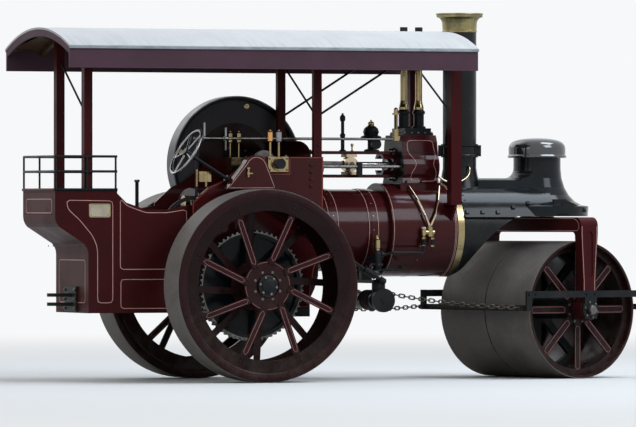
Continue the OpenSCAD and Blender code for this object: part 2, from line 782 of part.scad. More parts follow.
// The space that a post takes up, with its seat
module post_space(p) {
    hx = p[post_dx] / 2 + seat;
    hy = p[post_dy] / 2 + seat;
    box([p[post_x] - hx, p[post_x] + hx], [p[post_y] - hy, p[post_y] + hy], [2200, 2950]);
}

// Steering gear that stays with the engine
module steering_bracket() {
    color(black) difference() {
        union() {
            mirror_y() box([barrel_x - 60, barrel_x + 60], [380, 400], [barrel_z - 60, 880]);
            box([barrel_x - 60, barrel_x + 60], [-400, 400], [850, 880]);
            mirror_y() box([barrel_x - 50, barrel_x + 50], [60, 120], [870, 1000]);
        }
        rod_y(-410, 410, barrel_x, barrel_z, 25 + fit);
        rod_x(1200, 1400, 0, boiler_z, barrel_r + 4 + seat);
    }
    for (d = [430, shaft_l - 60]) shaft_bearing(d);
}
// A sleeve round the steering shaft, d along it from the hand wheel, and its arm inwards
module shaft_bearing(d) {
    arm = d < 1000 ? -horn_y - seat - shaft_y : -400 - shaft_y;
    color(black) on_shaft() translate([0, 0, d]) difference() {
        union() {
            cylinder(h = 50, r = 30);
            translate([-12, 0, 0]) cube([24, arm, 50]);
        }
        translate([0, 0, -1]) cylinder(h = 52, r = 16 + fit);
    }
}
module on_shaft() {
    translate([hand_x, shaft_y, hand_z]) rotate([0, 90 + shaft_slope, 0]) children();
}

// Crankshaft and flywheel
module crankshaft() {
    color(steel) {
        rod_y(-560, -70, crank_x, crank_z, crank_d / 2);
        rod_y(70, fly_in + fly_w, crank_x, crank_z, crank_d / 2);
        rod_y(-71, 71, crank_x + crank_throw, crank_z, 48);
        mirror_y() plate_y(60, 110) {
            translate([crank_x, crank_z]) circle(r = 75);
            translate([crank_x + crank_throw, crank_z]) circle(r = 62);
            translate([crank_x - 60, crank_z - 62]) square([crank_throw + 60, 124]);
        }
    }
}

module flywheel() {
    color(steel) turned_y(crank_x, crank_z) difference() {
        union() {
            translate([0, fly_in]) square([120, fly_w]);
            translate([0, fly_in + fly_w / 2 - 12]) square([fly_d / 2, 24]);
            translate([fly_d / 2 - 36, fly_in]) square([36, fly_w]);
        }
        translate([-1, fly_in - 1]) square([crank_d / 2 + 1, fly_w + 2]);
    }
}

// Rolls
module spoke(a0, a1, r0, r1, width, y0, y1) {
    p = [r0 * cos(a0), r0 * sin(a0)];
    q = [r1 * cos(a1), r1 * sin(a1)];
    d = (q - p) / norm(q - p);
    n = [-d[1], d[0]] * width / 2;
    plate_y(y0, y1) polygon([p - n, p + n, q + n, q - n]);
}

module roll_rear(side) {
    o = roll_out;
    i = roll_in;
    color(maroon) scale_side(side) translate([0, 0, rear_r]) {
        difference() {
            union() {
                turned_y(0, 0) {
                    translate([rear_r - roll_wall, i + 20]) square([roll_wall, rear_w - 40]);
                    for (e = [[i, -1], [o, 1]]) polygon(rim_profile(e[0], e[1]));
                    for (y = [i + 12, o - 36]) translate([rear_r - 188, y]) square([120, 24]);
                    translate([0, i]) square([150, rear_w - 45]);
                    translate([0, i + 12]) square([215, 24]);
                    // the outer flange stands round the axle's collar, up to the spokes
                    translate([105, o - 56]) square([110, 24]);
                }
                if (side < 0) drive_gear();
                for (k = [0:spokes - 1]) for (f = [[o - 34, 24], [i + 22, 24 + 180 / spokes]])
                    spoke(f[1] + k * 360 / spokes + 13, f[1] + k * 360 / spokes,
                        190, rear_r - 110, 60, f[0], f[0] + 12);
            }
            rod_y(i - 120, o + 1, 0, 0, bore_axle);
        }
    }
}
// The rounded rim at the edge y of a rear roll, on the side s
function rim_profile(y, s) = [for (p = [[88, 36], [88, 30], [81, 13], [68, 4], [40, 0], [16, 3], [5, 9], [0, 20], [0, 36]])
    [rear_r - p[0], y - s * p[1]]];
gear_teeth = 64;
gear_r = 470;
// The driving gear that the right roll carries inside it, drawn on the left and mirrored with the roll
module drive_gear() {
    i = roll_in;
    turned_y(0, 0) {
        translate([gear_r - 44, i - 112]) square([42, 90]);
        translate([120, i - 76]) square([gear_r - 160, 18]);
        translate([0, i - 112]) square([128, 114]);
    }
    plate_y(i - 112, i - 22) for (k = [0:gear_teeth - 1]) rotate(k * 360 / gear_teeth)
        polygon([[gear_r - 4, -13], [gear_r + 14, -7], [gear_r + 14, 7], [gear_r - 4, 13]]);
    for (k = [0:5]) rotate([0, k * 60, 0]) rod_y(i - 60, i + 14, 180, 0, 16);
}
module scale_side(side) {
    if (side > 0) children();
    else mirror([0, 1, 0]) children();
}

// Everything that turns with the fork is drawn straight ahead at the pivot, then steered
module steered() {
    translate([wheelbase, 0, 0]) rotate([0, 0, steer_rest]) children();
}

module fork() {
    color(maroon) steered() difference() {
        union() {
            intersection() {
                bar_x(-leg_w / 2, leg_w / 2) fork_front();
                plate_y(-leg_out - 1, leg_out + 1) fork_side();
            }
            mirror_y() rod_y(leg_in - 10, leg_out, 0, front_r, 98);
            rod_z(crown_top - 1, boss_top, 0, 0, 153);
            rod_z(boss_top - 1, 1950, 0, 0, post_pin_d / 2);
        }
        rod_y(-leg_out - 1, leg_out + 1, 0, front_r, front_axle_d / 2 + fit);
        // the sunk panel in each leg's outer face
        mirror_y() plate_y(leg_out - 9, leg_out + 1) union() {
            translate([-panel_r, 930]) square([2 * panel_r, 340]);
            for (z = [930, 1270]) translate([0, z]) circle(r = panel_r);
        }
    }
}
corner_r = 75;
panel_r = 38;
// The fork seen from the front: crown and legs with rounded corners
module fork_front() {
    difference() {
        union() {
            translate([-leg_out + corner_r, front_r]) square([2 * (leg_out - corner_r), crown_top - front_r]);
            translate([-leg_out, front_r]) square([2 * leg_out, crown_top - corner_r - front_r]);
            for (s = [-1, 1]) translate([s * (leg_out - corner_r), crown_top - corner_r]) circle(r = corner_r);
        }
        difference() {
            translate([-leg_in, front_r - 1]) square([2 * leg_in, crown_z - front_r + 1]);
            for (s = [-1, 1]) translate([s * leg_in, crown_z]) difference() {
                square(2 * inner_r, center = true);
                translate([-s * inner_r, -inner_r]) circle(r = inner_r);
            }
        }
    }
}
inner_r = 35;
// The fork seen from the side: wide at the crown, narrow above the axle's boss
module fork_side() {
    polygon([[-leg_w / 2, crown_top + 1], [leg_w / 2, crown_top + 1], [leg_w / 2, crown_z - 20],
        [leg_w / 2 - 26, 860], [leg_w / 2 - 20, front_r], [20 - leg_w / 2, front_r], [26 - leg_w / 2, 860],
        [-leg_w / 2, crown_z - 20]]);
}

module front_axle() {
    color(steel) steered() {
        rod_y(-leg_out - frame_bar_t - 20, leg_out + frame_bar_t + 20, 0, front_r, front_axle_d / 2);
    }
}

module scraper_frame() {
    color(black) steered() {
        mirror_y() difference() {
            union() {
                box([-frame_half_l, frame_half_l], [leg_out + seat, frame_y], [720, 780]);
                for (s = [-1, 1]) box(s > 0 ? [frame_half_l - 60, frame_half_l] : [-frame_half_l, 60 - frame_half_l],
                    [leg_out + seat, frame_y], [605, 781]);
                box([-70, 70], [leg_out + seat, frame_y], [front_r - 80, 781]);
                rod_y(leg_out + seat, frame_y, 0, front_r - 0, 90);
            }
            rod_y(leg_out, frame_y + 1, 0, front_r, front_axle_d / 2 + seat);
        }
        for (s = [-1, 1]) {
            translate([s * (frame_half_l - 30), 0, 0])
                box([-30, 30], [-frame_y, frame_y], [605, 655]);
            box(s > 0 ? [front_r + open_gap, frame_half_l - 59] : [-frame_half_l + 59, -front_r - open_gap],
                [-front_l / 2 + 10, front_l / 2 - 10], [620, 632]);
        }
        // the ears that the steering chains pull on
        mirror_y() difference() {
            union() {
                box([-frame_half_l - 40, -frame_half_l + 1], [frame_y - 60, frame_y - 40], [610, 650]);
                rod_y(frame_y - 60, frame_y - 40, -frame_half_l - 40, 630, 20);
            }
            rod_y(frame_y - 61, frame_y - 39, -frame_half_l - 40, 630, 9);
        }
    }
}

module roll_front(side) {
    o = front_l / 2;
    i = front_gap / 2;
    w = o - i;
    color(rust) steered() scale_side(side) translate([0, 0, front_r]) difference() {
        union() {
            turned_y(0, 0) {
                translate([front_r - roll_wall, i]) square([roll_wall, w]);
                for (y = [i, o - 70]) {
                    translate([front_r - 80, y]) square([80 - roll_wall + 1, 14]);
                    translate([0, y]) square([130, 14]);
                }
                translate([0, i]) square([85, w]);
            }
            for (k = [0:7]) for (y = [i, o - 70])
                spoke(k * 45, k * 45, 120, front_r - 60, 70, y, y + 14);
        }
        rod_y(i - 1, o + 1, 0, 0, front_axle_d / 2 + fit);
    }
}

// The hand wheel, its shaft and the worm at its foot
module hand_steering() {
    on_shaft() {
        color(steel) {
            cylinder(h = shaft_l, r = 16);
            translate([0, 0, shaft_l - 230]) cylinder(h = 120, r = 32);
            rotate_extrude() translate([hand_wheel_d / 2 - 12, 0]) circle(r = 12);
            for (k = [0:4]) rotate([0, 0, k * 72]) rotate([0, 90, 0]) cylinder(h = hand_wheel_d / 2 - 12, r = 9);
            translate([0, 0, -20]) cylinder(h = 60, r = 34);
        }
    }
}

module chain_barrel() {
    color(black) {
        rod_y(-525, 420, barrel_x, barrel_z, 25);
        rod_y(-360, 360, barrel_x, barrel_z, 75);
        rod_y(-520, -480, barrel_x, barrel_z, 105);
    }
}

module placed() {
    translate([-mid_x, 0, 0]) children();
}

placed() boiler();
placed() boiler_band();
placed() firebox();
placed() hornplate(-1);  // hornplate_right
placed() hornplate(1);  // hornplate_left
placed() smokebox();
placed() headstock();
placed() chimney();
placed() chimney_cap();
placed() cylinder_block();
placed() valve_chest();
placed() steam_fittings();
placed() governor();
placed() motion_guide();
placed() motion_rods();
placed() crank_bearings();
placed() crank_guard();
placed() gear_cover();
placed() feed_pump();
placed() boiler_pipes();
placed() tender_tank();
placed() bunker();
placed() coal_rails();
placed() tender_sides();
placed() controls();
placed() drawbar();
placed() rear_axle();
placed() posts_rear();
placed() posts_middle();
placed() posts_front();
placed() canopy_roof();
placed() canopy_boards();
placed() canopy_hoops();
placed() canopy_stays();
placed() steering_bracket();
placed() crankshaft();
placed() flywheel();
placed() roll_rear(-1);  // roll_rear_right
placed() roll_rear(1);  // roll_rear_left
placed() fork();
placed() front_axle();
placed() scraper_frame();
placed() roll_front(-1);  // roll_front_right
placed() roll_front(1);  // roll_front_left
placed() hand_steering();
placed() chain_barrel();
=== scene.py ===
"""Steam road roller: finishes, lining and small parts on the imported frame.

Places are written in millimetres: X forward from the rear axle, Y to the driver's left, Z above
the ground. They are turned into the frame's metres when a mesh is made.
"""

import logging
import math
from dataclasses import dataclass
from enum import Enum

import bmesh
import bpy
import numpy as np
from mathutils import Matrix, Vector


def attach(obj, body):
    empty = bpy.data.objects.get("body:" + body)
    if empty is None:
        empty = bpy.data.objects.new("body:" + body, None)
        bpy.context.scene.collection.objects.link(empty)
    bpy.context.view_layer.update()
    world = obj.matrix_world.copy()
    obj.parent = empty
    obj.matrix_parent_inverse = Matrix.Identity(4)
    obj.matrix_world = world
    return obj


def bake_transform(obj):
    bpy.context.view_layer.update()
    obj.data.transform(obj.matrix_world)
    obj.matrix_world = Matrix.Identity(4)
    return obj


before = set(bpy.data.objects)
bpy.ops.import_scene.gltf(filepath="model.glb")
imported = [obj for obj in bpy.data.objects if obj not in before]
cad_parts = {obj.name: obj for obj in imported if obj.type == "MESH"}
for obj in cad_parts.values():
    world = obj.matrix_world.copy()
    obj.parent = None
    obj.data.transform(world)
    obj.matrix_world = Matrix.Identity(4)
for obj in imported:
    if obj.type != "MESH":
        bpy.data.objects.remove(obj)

LOG = logging.getLogger("road_roller")
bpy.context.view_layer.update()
Vec = tuple[float, float, float]
Rgb = tuple[float, float, float]
Socket = bpy.types.NodeSocket

MID = 1084.7886  # X of the frame's origin, from the rear axle
BOARD_WIDTH = 0.095  # metres
ORIGIN: Vec = (0, 0, 0)
UP: Vec = (0, 0, 1)
AHEAD: Vec = (1, 0, 0)
ASTERN: Vec = (-1, 0, 0)
RIGHT: Vec = (0, -1, 0)
ALONG_Y: Vec = (0, 1, 0)
STEER = 16.5  # degrees to the left at rest
PIVOT: Vec = (3000, 0, 0)  # where the steering's axis meets the ground
FRONT_AXIS: Vec = (-math.sin(math.radians(STEER)), math.cos(math.radians(STEER)), 0)
HANDS = {-1: "right", 1: "left"}  # by the sign of Y
SMOOTH_DEG = 34.0  # faces that meet at less are shaded as one
WELD = 1e-6  # metres
TINY = 1e-9  # keeps a length off zero before it divides
PAINT_LIFT = 0.8  # how far a painted line stands proud
REAR_R = 838.0  # the rear rolls' radius, and so their axle's height
FRONT_R = 610.0  # the front roll's


def metres(place: Vec) -> Vec:
    """A place in millimetres from the rear axle, in the frame's metres."""
    return ((place[0] - MID) / 1000, place[1] / 1000, place[2] / 1000)


# Shapes

@dataclass
class Shape:
    """A mesh under construction: corners in millimetres and four-sided faces.

    Args:
        verts: Corner places, one row each.
        quads: Indices of each face's four corners.
    """

    verts: np.ndarray
    quads: np.ndarray

    @staticmethod
    def join(shapes: list["Shape"]) -> "Shape":
        """Several shapes as one, their indices shifted by the corners before them."""
        starts = np.cumsum([0] + [len(s.verts) for s in shapes[:-1]])
        return Shape(np.vstack([s.verts for s in shapes]),
                     np.vstack([s.quads + n for s, n in zip(shapes, starts)]))

    def turned(self, axis: Vec, degrees: float, about: Vec = ORIGIN) -> "Shape":
        """The shape turned about an axis through a place, by Rodrigues' formula."""
        k = np.array(axis, float) / np.linalg.norm(axis)
        v = self.verts - np.array(about, float)
        c, s = math.cos(math.radians(degrees)), math.sin(math.radians(degrees))
        out = v * c + np.cross(k, v) * s + np.outer(v @ k, k) * (1 - c)
        return Shape(out + np.array(about, float), self.quads)

    def moved(self, by: Vec) -> "Shape":
        """The shape shifted by a vector."""
        return Shape(self.verts + np.array(by, float), self.quads)

    def copies(self, places: np.ndarray | list[Vec]) -> "Shape":
        """One copy of the shape at each place, all in one array sum.

        Args:
            places: Rows of offsets.
        """
        n, m = len(places), len(self.verts)
        verts = (self.verts[None] + np.asarray(places, float)[:, None]).reshape(-1, 3)
        quads = (self.quads[None] + (np.arange(n) * m)[:, None, None]).reshape(-1, 4)
        return Shape(verts, quads)

    def spun(self, axis: Vec, about: Vec, count: int) -> "Shape":
        """Copies of the shape at even angles round an axis."""
        return Shape.join([self.turned(axis, 360 * k / count, about) for k in range(count)])

    def mirrored(self) -> "Shape":
        """The shape and its twin on the other side of the centre plane."""
        return Shape.join([self, Shape(self.verts * np.array([1, -1, 1]), self.quads[:, ::-1])])


def basis(axis: Vec) -> tuple[np.ndarray, np.ndarray, np.ndarray]:
    """Two unit vectors square to an axis, and the axis itself as a unit vector."""
    w = np.array(axis, float) / np.linalg.norm(axis)
    u = np.cross(w, UP if abs(w[2]) < 0.9 else AHEAD)
    u /= np.linalg.norm(u)
    return u, np.cross(w, u), w


def lattice(points: np.ndarray, wrap_u: bool = False, wrap_v: bool = False) -> Shape:
    """Faces between the neighbours of a grid of points.

    Args:
        points: Array of shape (u, v, 3).
        wrap_u: The last row joins the first.
        wrap_v: The last column joins the first.
    """
    nu, nv = points.shape[:2]
    idx = np.arange(nu * nv).reshape(nu, nv)
    if wrap_u:
        idx = np.vstack([idx, idx[:1]])
    if wrap_v:
        idx = np.hstack([idx, idx[:, :1]])
    quads = np.stack([idx[:-1, :-1], idx[1:, :-1], idx[1:, 1:], idx[:-1, 1:]], -1).reshape(-1, 4)
    return Shape(points.reshape(-1, 3).astype(float), quads)


def revolve(profile: list[tuple[float, float]], centre: Vec, axis: Vec, sides: int = 48,
            ring: bool = False) -> Shape:
    """A profile of (radius, place along the axis) turned about the axis.

    Each point is centre + along * w + radius * (cos t * u + sin t * v), with u and v square to w.

    Args:
        profile: Radius and place along, in order.
        centre: A place on the axis.
        axis: The axis.
        sides: Steps round the axis.
        ring: The profile closes on itself, and doesn't reach the axis.
    """
    u, v, w = basis(axis)
    p = np.array(profile, float)
    t = np.linspace(0, 2 * np.pi, sides, endpoint=False)
    spin = np.cos(t)[:, None] * u + np.sin(t)[:, None] * v
    along, out = p[:, 1][:, None, None] * w, p[:, 0][:, None, None] * spin[None]
    return lattice(np.array(centre, float) + along + out, ring, True)


def capped(rings: np.ndarray) -> np.ndarray:
    """Rings of points with a collapsed ring at each end, at the end ring's middle, to close it."""
    first = np.repeat(rings[:1].mean(1, keepdims=True), rings.shape[1], 1)
    last = np.repeat(rings[-1:].mean(1, keepdims=True), rings.shape[1], 1)
    return np.concatenate([first, rings, last])


def sweep(path: np.ndarray, section: np.ndarray, up: Vec | np.ndarray = UP,
          closed: bool = False) -> Shape:
    """A section carried along a path.

    Each ring is path + a * side + b * normal, where side is the unit cross product of the path's
    tangent and up, and normal that of side and the tangent.

    Args:
        path: Points along the middle, one row each.
        section: Points (a, b) of the section, in order.
        up: The direction that b follows, one for all or one for each point.
        closed: The path closes on itself.
    """
    path = np.asarray(path, float)
    if closed:
        tangent = np.roll(path, -1, 0) - np.roll(path, 1, 0)
    else:
        tangent = np.gradient(path, axis=0)
    tangent /= np.linalg.norm(tangent, axis=1, keepdims=True)
    side = np.cross(tangent, np.broadcast_to(np.array(up, float), path.shape))
    side /= np.linalg.norm(side, axis=1, keepdims=True)
    normal = np.cross(side, tangent)
    section = np.asarray(section, float)
    rings = (path[:, None] + section[None, :, :1] * side[:, None]
             + section[None, :, 1:] * normal[:, None])
    if closed:
        return lattice(rings, True, True)
    return lattice(capped(rings), False, True)


def disc(radius: float, sides: int = 8) -> np.ndarray:
    """A round section of so many sides."""
    t = np.linspace(0, 2 * np.pi, sides, endpoint=False)
    return np.stack([radius * np.cos(t), radius * np.sin(t)], 1)


def strip(width: float, lift: float) -> np.ndarray:
    """The section of a flat line of paint or beading, half a millimetre sunk and lift proud."""
    w = width / 2
    return np.array([[-w, -0.5], [-w + 0.3, lift], [w - 0.3, lift], [w, -0.5]])


def prism(outline: np.ndarray, origin: Vec, axis: Vec, a0: float, a1: float, bevel: float,
          across: Vec) -> Shape:
    """A flat outline made thick along an axis, with its edges bevelled.

    The rings are the outline drawn in by the bevel, the outline, the outline and the outline drawn
    in again; drawing in moves each corner towards the middle by the bevel.

    Args:
        outline: Corners (p, q) in the plane square to the axis, which must be seen from its middle.
        origin: Where p, q and the depth are zero.
        axis: The direction of the depth.
        a0: Start of the depth.
        a1: End of the depth.
        bevel: Width of the bevel.
        across: The direction of p, square to the axis.
    """
    u, w = np.array(across, float), basis(axis)[2]
    v = np.cross(w, u)
    flat = np.asarray(outline, float)
    middle = flat.mean(0)
    arm = flat - middle
    reach = np.maximum(np.linalg.norm(arm, axis=1, keepdims=True), TINY)
    inner = middle + arm * (1 - bevel / reach)
    rings = np.stack([
        np.array(origin, float) + p[:, :1] * u + p[:, 1:] * v + a * w
        for p, a in ((inner, a0), (flat, a0 + bevel), (flat, a1 - bevel), (inner, a1))])
    return lattice(capped(rings), False, True)


def rounded(width: float, height: float, radius: float, steps: int = 4) -> np.ndarray:
    """The outline of a rectangle with round corners, about its middle."""
    t = np.linspace(0, np.pi / 2, steps + 1)
    arcs = []
    for k, (sx, sy) in enumerate(((1, 1), (-1, 1), (-1, -1), (1, -1))):
        a = t + k * np.pi / 2
        arcs.append(np.stack([sx * (width / 2 - radius) + radius * np.cos(a),
                              sy * (height / 2 - radius) + radius * np.sin(a)], 1))
    return np.vstack(arcs)


def fillet(corners: list[tuple[float, float]], radius: float, steps: int = 5) -> np.ndarray:
    """A closed outline whose corners are rounded.

    Each corner becomes the curve (1 - t)^2 * a + 2 t (1 - t) * corner + t^2 * b, where a and b lie
    on its two sides, a radius away or half the side if that is shorter.
    """
    c = np.array(corners, float)
    before, after = np.roll(c, 1, 0) - c, np.roll(c, -1, 0) - c
    lb = np.linalg.norm(before, axis=1, keepdims=True)
    la = np.linalg.norm(after, axis=1, keepdims=True)
    a = c + before / lb * np.minimum(radius, lb * 0.49)
    b = c + after / la * np.minimum(radius, la * 0.49)
    t = np.linspace(0, 1, steps)[None, :, None]
    curve = (1 - t) ** 2 * a[:, None] + 2 * t * (1 - t) * c[:, None] + t ** 2 * b[:, None]
    return curve.reshape(-1, 2)


def bent(corners: list[Vec], radius: float, steps: int = 6) -> np.ndarray:
    """An open run of straights in space with its corners rounded, by the same curve as fillet."""
    p = np.array(corners, float)
    out = [p[:1]]
    for a, b, c in zip(p[:-2], p[1:-1], p[2:]):
        u, v = (a - b) / np.linalg.norm(a - b), (c - b) / np.linalg.norm(c - b)
        start, end = b + radius * u, b + radius * v
        t = np.linspace(0, 1, steps)[:, None]
        out.append((1 - t) ** 2 * start + 2 * t * (1 - t) * b + t ** 2 * end)
    return np.vstack([*out, p[-1:]])


def in_plane_x(flat: np.ndarray, x: float) -> np.ndarray:
    """Points (Y, Z) as points in the upright plane at x."""
    return np.stack([np.full(len(flat), float(x)), flat[:, 0], flat[:, 1]], 1)


def in_plane_y(flat: np.ndarray, y: float) -> np.ndarray:
    """Points (X, Z) as points in the upright plane at y."""
    return np.stack([flat[:, 0], np.full(len(flat), float(y)), flat[:, 1]], 1)


def inset(flat: np.ndarray, by: float) -> np.ndarray:
    """A closed outline drawn in along the mean of its two edges' normals at each corner."""
    edge = np.roll(flat, -1, 0) - flat
    edge /= np.maximum(np.linalg.norm(edge, axis=1, keepdims=True), TINY)
    normal = np.stack([-edge[:, 1], edge[:, 0]], 1)
    mean = normal + np.roll(normal, 1, 0)
    mean /= np.maximum(np.linalg.norm(mean, axis=1, keepdims=True), TINY)
    area = np.sum(flat[:, 0] * np.roll(flat[:, 1], -1) - np.roll(flat[:, 0], -1) * flat[:, 1])
    return flat + mean * by * (1 if area > 0 else -1)


def dome(radius: float, height: float, axis: Vec, sides: int = 8) -> Shape:
    """A rivet head at the origin: an ellipse's quarter turned about the axis."""
    profile = [(radius, -1), (radius, 0), (radius * 0.72, height * 0.7), (0, height)]
    return revolve(profile, ORIGIN, axis, sides)


def nut(radius: float, height: float, axis: Vec, stud: float = 0.0) -> Shape:
    """A six-sided nut at the origin with a bevelled top, and its stud's end if it has one."""
    body = [(radius, -1), (radius, height * 0.8), (radius * 0.82, height), (0, height)]
    parts = [revolve(body, ORIGIN, axis, 6)]
    if stud > 0:
        end = [(radius * 0.5, height - 1), (radius * 0.5, height + stud * 0.7),
               (radius * 0.35, height + stud), (0, height + stud)]
        parts.append(revolve(end, ORIGIN, axis, 8))
    return Shape.join(parts)


def round_places(centre: Vec, axis: Vec, radius: float, count: int,
                 first: float = 0.0) -> np.ndarray:
    """Places at even angles on a circle: centre + radius * (cos t * u + sin t * v)."""
    u, v, _ = basis(axis)
    t = np.radians(first + 360.0 * np.arange(count) / count)
    return np.array(centre, float) + radius * (np.cos(t)[:, None] * u + np.sin(t)[:, None] * v)


def row(a: Vec, b: Vec, count: int) -> np.ndarray:
    """Places at even steps from a to b."""
    return np.linspace(np.array(a, float), np.array(b, float), count)


def grid(xs: tuple[float, ...], ys: tuple[float, ...], zs: tuple[float, ...]) -> np.ndarray:
    """Every place whose x, y and z are in the three lists."""
    return np.array([(x, y, z) for x in xs for y in ys for z in zs], float)


# Shader building

class Tree:
    """Adds and links the nodes of one node tree.

    Args:
        tree: The tree to fill.
    """

    def __init__(self, tree: bpy.types.NodeTree) -> None:
        self.tree = tree
        self.tree.nodes.clear()

    def add(self, kind: str, settings: dict | None = None, **inputs: object) -> bpy.types.Node:
        """A node with its settings, and its inputs given by name as sockets or values."""
        node = self.tree.nodes.new(kind)
        for key, value in (settings or {}).items():
            setattr(node, key, value)
        for key, value in inputs.items():
            self.put(node.inputs[key.replace("_", " ")], value)
        return node

    def put(self, socket: bpy.types.NodeSocket, value: object) -> None:
        """Links a socket's source, or sets its plain value."""
        if isinstance(value, bpy.types.NodeSocket):
            self.tree.links.new(value, socket)
        elif isinstance(value, tuple) and len(value) == 3 and socket.type == "RGBA":
            socket.default_value = (*value, 1.0)
        else:
            socket.default_value = value

    def math(self, op: str, a: object, b: object = 0.0, clamp: bool = False) -> Socket:
        """A Math node's value."""
        node = self.add("ShaderNodeMath", {"operation": op, "use_clamp": clamp})
        self.put(node.inputs[0], a)
        self.put(node.inputs[1], b)
        return node.outputs[0]

    def plus(self, a: object, b: object, weight: float = 1.0) -> Socket:
        """A value plus so many times another."""
        return self.math("ADD", a, self.math("MULTIPLY", b, weight))

    def vector(self, op: str, a: object, b: object = (0.0, 0.0, 0.0)) -> bpy.types.Node:
        """A Vector Math node."""
        node = self.add("ShaderNodeVectorMath", {"operation": op})
        self.put(node.inputs[0], a)
        self.put(node.inputs[1], b)
        return node

    def split(self, vector: Socket) -> bpy.types.bpy_prop_collection:
        """A vector's three parts."""
        return self.add("ShaderNodeSeparateXYZ", None, Vector=vector).outputs

    def blend(self, factor: object, a: object, b: object) -> Socket:
        """Two colours mixed by a factor."""
        node = self.add("ShaderNodeMix", {"data_type": "RGBA"})
        self.put(node.inputs[0], factor)
        self.put(node.inputs[6], a)
        self.put(node.inputs[7], b)
        return node.outputs[2]

    def between(self, factor: object, a: object, b: object) -> Socket:
        """Two values mixed by a factor."""
        node = self.add("ShaderNodeMix", {"data_type": "FLOAT"})
        self.put(node.inputs[0], factor)
        self.put(node.inputs[2], a)
        self.put(node.inputs[3], b)
        return node.outputs[0]

    def shade(self, factor: object, a: bpy.types.Node, b: bpy.types.Node) -> bpy.types.Node:
        """Two shaders mixed by a factor."""
        node = self.add("ShaderNodeMixShader", None, Fac=factor)
        self.put(node.inputs[1], a.outputs[0])
        self.put(node.inputs[2], b.outputs[0])
        return node

    def ramp(self, value: object, low: object, high: object) -> Socket:
        """A value stretched so that low is 0 and high is 1, smooth between."""
        node = self.add("ShaderNodeMapRange", {"interpolation_type": "SMOOTHSTEP"}, Value=value)
        self.put(node.inputs["From Min"], low)
        self.put(node.inputs["From Max"], high)
        return node.outputs[0]

    def noise(self, where: object, scale: object, detail: float, rough: float = 0.6) -> Socket:
        """A Noise texture's value."""
        return self.add("ShaderNodeTexNoise", None, Vector=where, Scale=scale, Detail=detail,
                        Roughness=rough).outputs[0]

    def use(self, name: str, **inputs: object) -> bpy.types.bpy_prop_collection:
        """The outputs of a node group, with its inputs given by name."""
        return self.add("ShaderNodeGroup", {"node_tree": bpy.data.node_groups[name]},
                        **inputs).outputs


COLOUR, FLOAT, VECTOR = "NodeSocketColor", "NodeSocketFloat", "NodeSocketVector"


class Group(Tree):
    """A node group with its sockets, to be filled and then used by its name.

    Args:
        name: The group's name.
        inputs: Socket type and default of each input.
        outputs: Socket type of each output.
    """

    def __init__(self, name: str, inputs: dict[str, tuple[str, object]],
                 outputs: dict[str, str]) -> None:
        tree = bpy.data.node_groups.new(name, "ShaderNodeTree")
        for key, (kind, default) in inputs.items():
            socket = tree.interface.new_socket(name=key, in_out="INPUT", socket_type=kind)
            socket.default_value = (*default, 1.0) if kind == COLOUR else default
        for key, kind in outputs.items():
            tree.interface.new_socket(name=key, in_out="OUTPUT", socket_type=kind)
        super().__init__(tree)
        self.given = self.add("NodeGroupInput").outputs
        self.results = self.add("NodeGroupOutput").inputs
        self.place = self.add("ShaderNodeTexCoord").outputs["Object"]

    def give(self, **values: Socket) -> None:
        """Links the group's results by name."""
        for key, value in values.items():
            self.put(self.results[key], value)


class Skin(Group):
    """The group of one grain: a finish's values in, its colour, roughness and height out.

    Args:
        name: The grain's name.
    """

    def __init__(self, name: str) -> None:
        super().__init__(name, {
            "Base": (COLOUR, (0.5, 0.5, 0.5)), "Worn": (COLOUR, (0.3, 0.3, 0.3)),
            "Scale": (FLOAT, 6.0), "Amount": (FLOAT, 0.3), "Smooth": (FLOAT, 0.3),
            "Rough": (FLOAT, 0.6)},
            {"Colour": COLOUR, "Roughness": FLOAT, "Height": FLOAT})

    def patches(self, detail: float, low: float, high: float, finer: float = 1.0) -> Socket:
        """Patches of noise at the finish's scale, or at so many times that."""
        scale = self.math("MULTIPLY", self.given["Scale"], finer)
        return self.ramp(self.noise(self.place, scale, detail), low, high)

    def streaks(self, steps: Vec, detail: float) -> Socket:
        """Noise with so many steps to the metre along each axis."""
        return self.noise(self.vector("MULTIPLY", self.place, steps).outputs[0], 1.0, detail)

    def worn(self, pattern: Socket) -> Socket:
        """How worn each place is: a pattern times the finish's amount, 1 at most."""
        return self.math("MULTIPLY", pattern, self.given["Amount"], True)

    def colour(self, worn: Socket) -> Socket:
        """The finish's colour where it is so much worn."""
        return self.blend(worn, self.given["Base"], self.given["Worn"])

    def roughness(self, worn: Socket) -> Socket:
        """The finish's roughness where it is so much worn."""
        return self.between(worn, self.given["Smooth"], self.given["Rough"])


def paint_skin(s: Skin) -> None:
    """Paint: broad fading patches, small specks of dirt and a faint orange peel."""
    specks = s.patches(2.0, 0.62, 0.72, 14.0)
    worn = s.worn(s.plus(s.patches(3.0, 0.38, 0.68), specks, 0.6))
    s.give(Colour=s.colour(worn), Roughness=s.roughness(worn), Height=s.noise(s.place, 160.0, 2.0))


def cast_skin(s: Skin) -> None:
    """Cast iron under thick paint: a pebbled height, with oil and soot settled in broad patches."""
    broad = s.patches(5.0, 0.4, 0.65)
    pebble = s.noise(s.place, 420.0, 2.0)
    worn = s.worn(s.plus(broad, pebble, 0.25))
    s.give(Colour=s.colour(worn), Roughness=s.roughness(worn), Height=s.plus(pebble, broad, 0.3))


def brushed_skin(s: Skin) -> None:
    """Polished metal: fine scratches from stretched noise, and tarnish in patches."""
    fine = s.streaks((90.0, 700.0, 700.0), 2.0)
    spots = s.patches(3.0, 0.55, 0.75, 9.0)
    worn = s.worn(s.plus(s.patches(4.0, 0.42, 0.7), spots))
    s.give(Colour=s.colour(worn), Roughness=s.plus(s.roughness(worn), fine, 0.08), Height=fine)


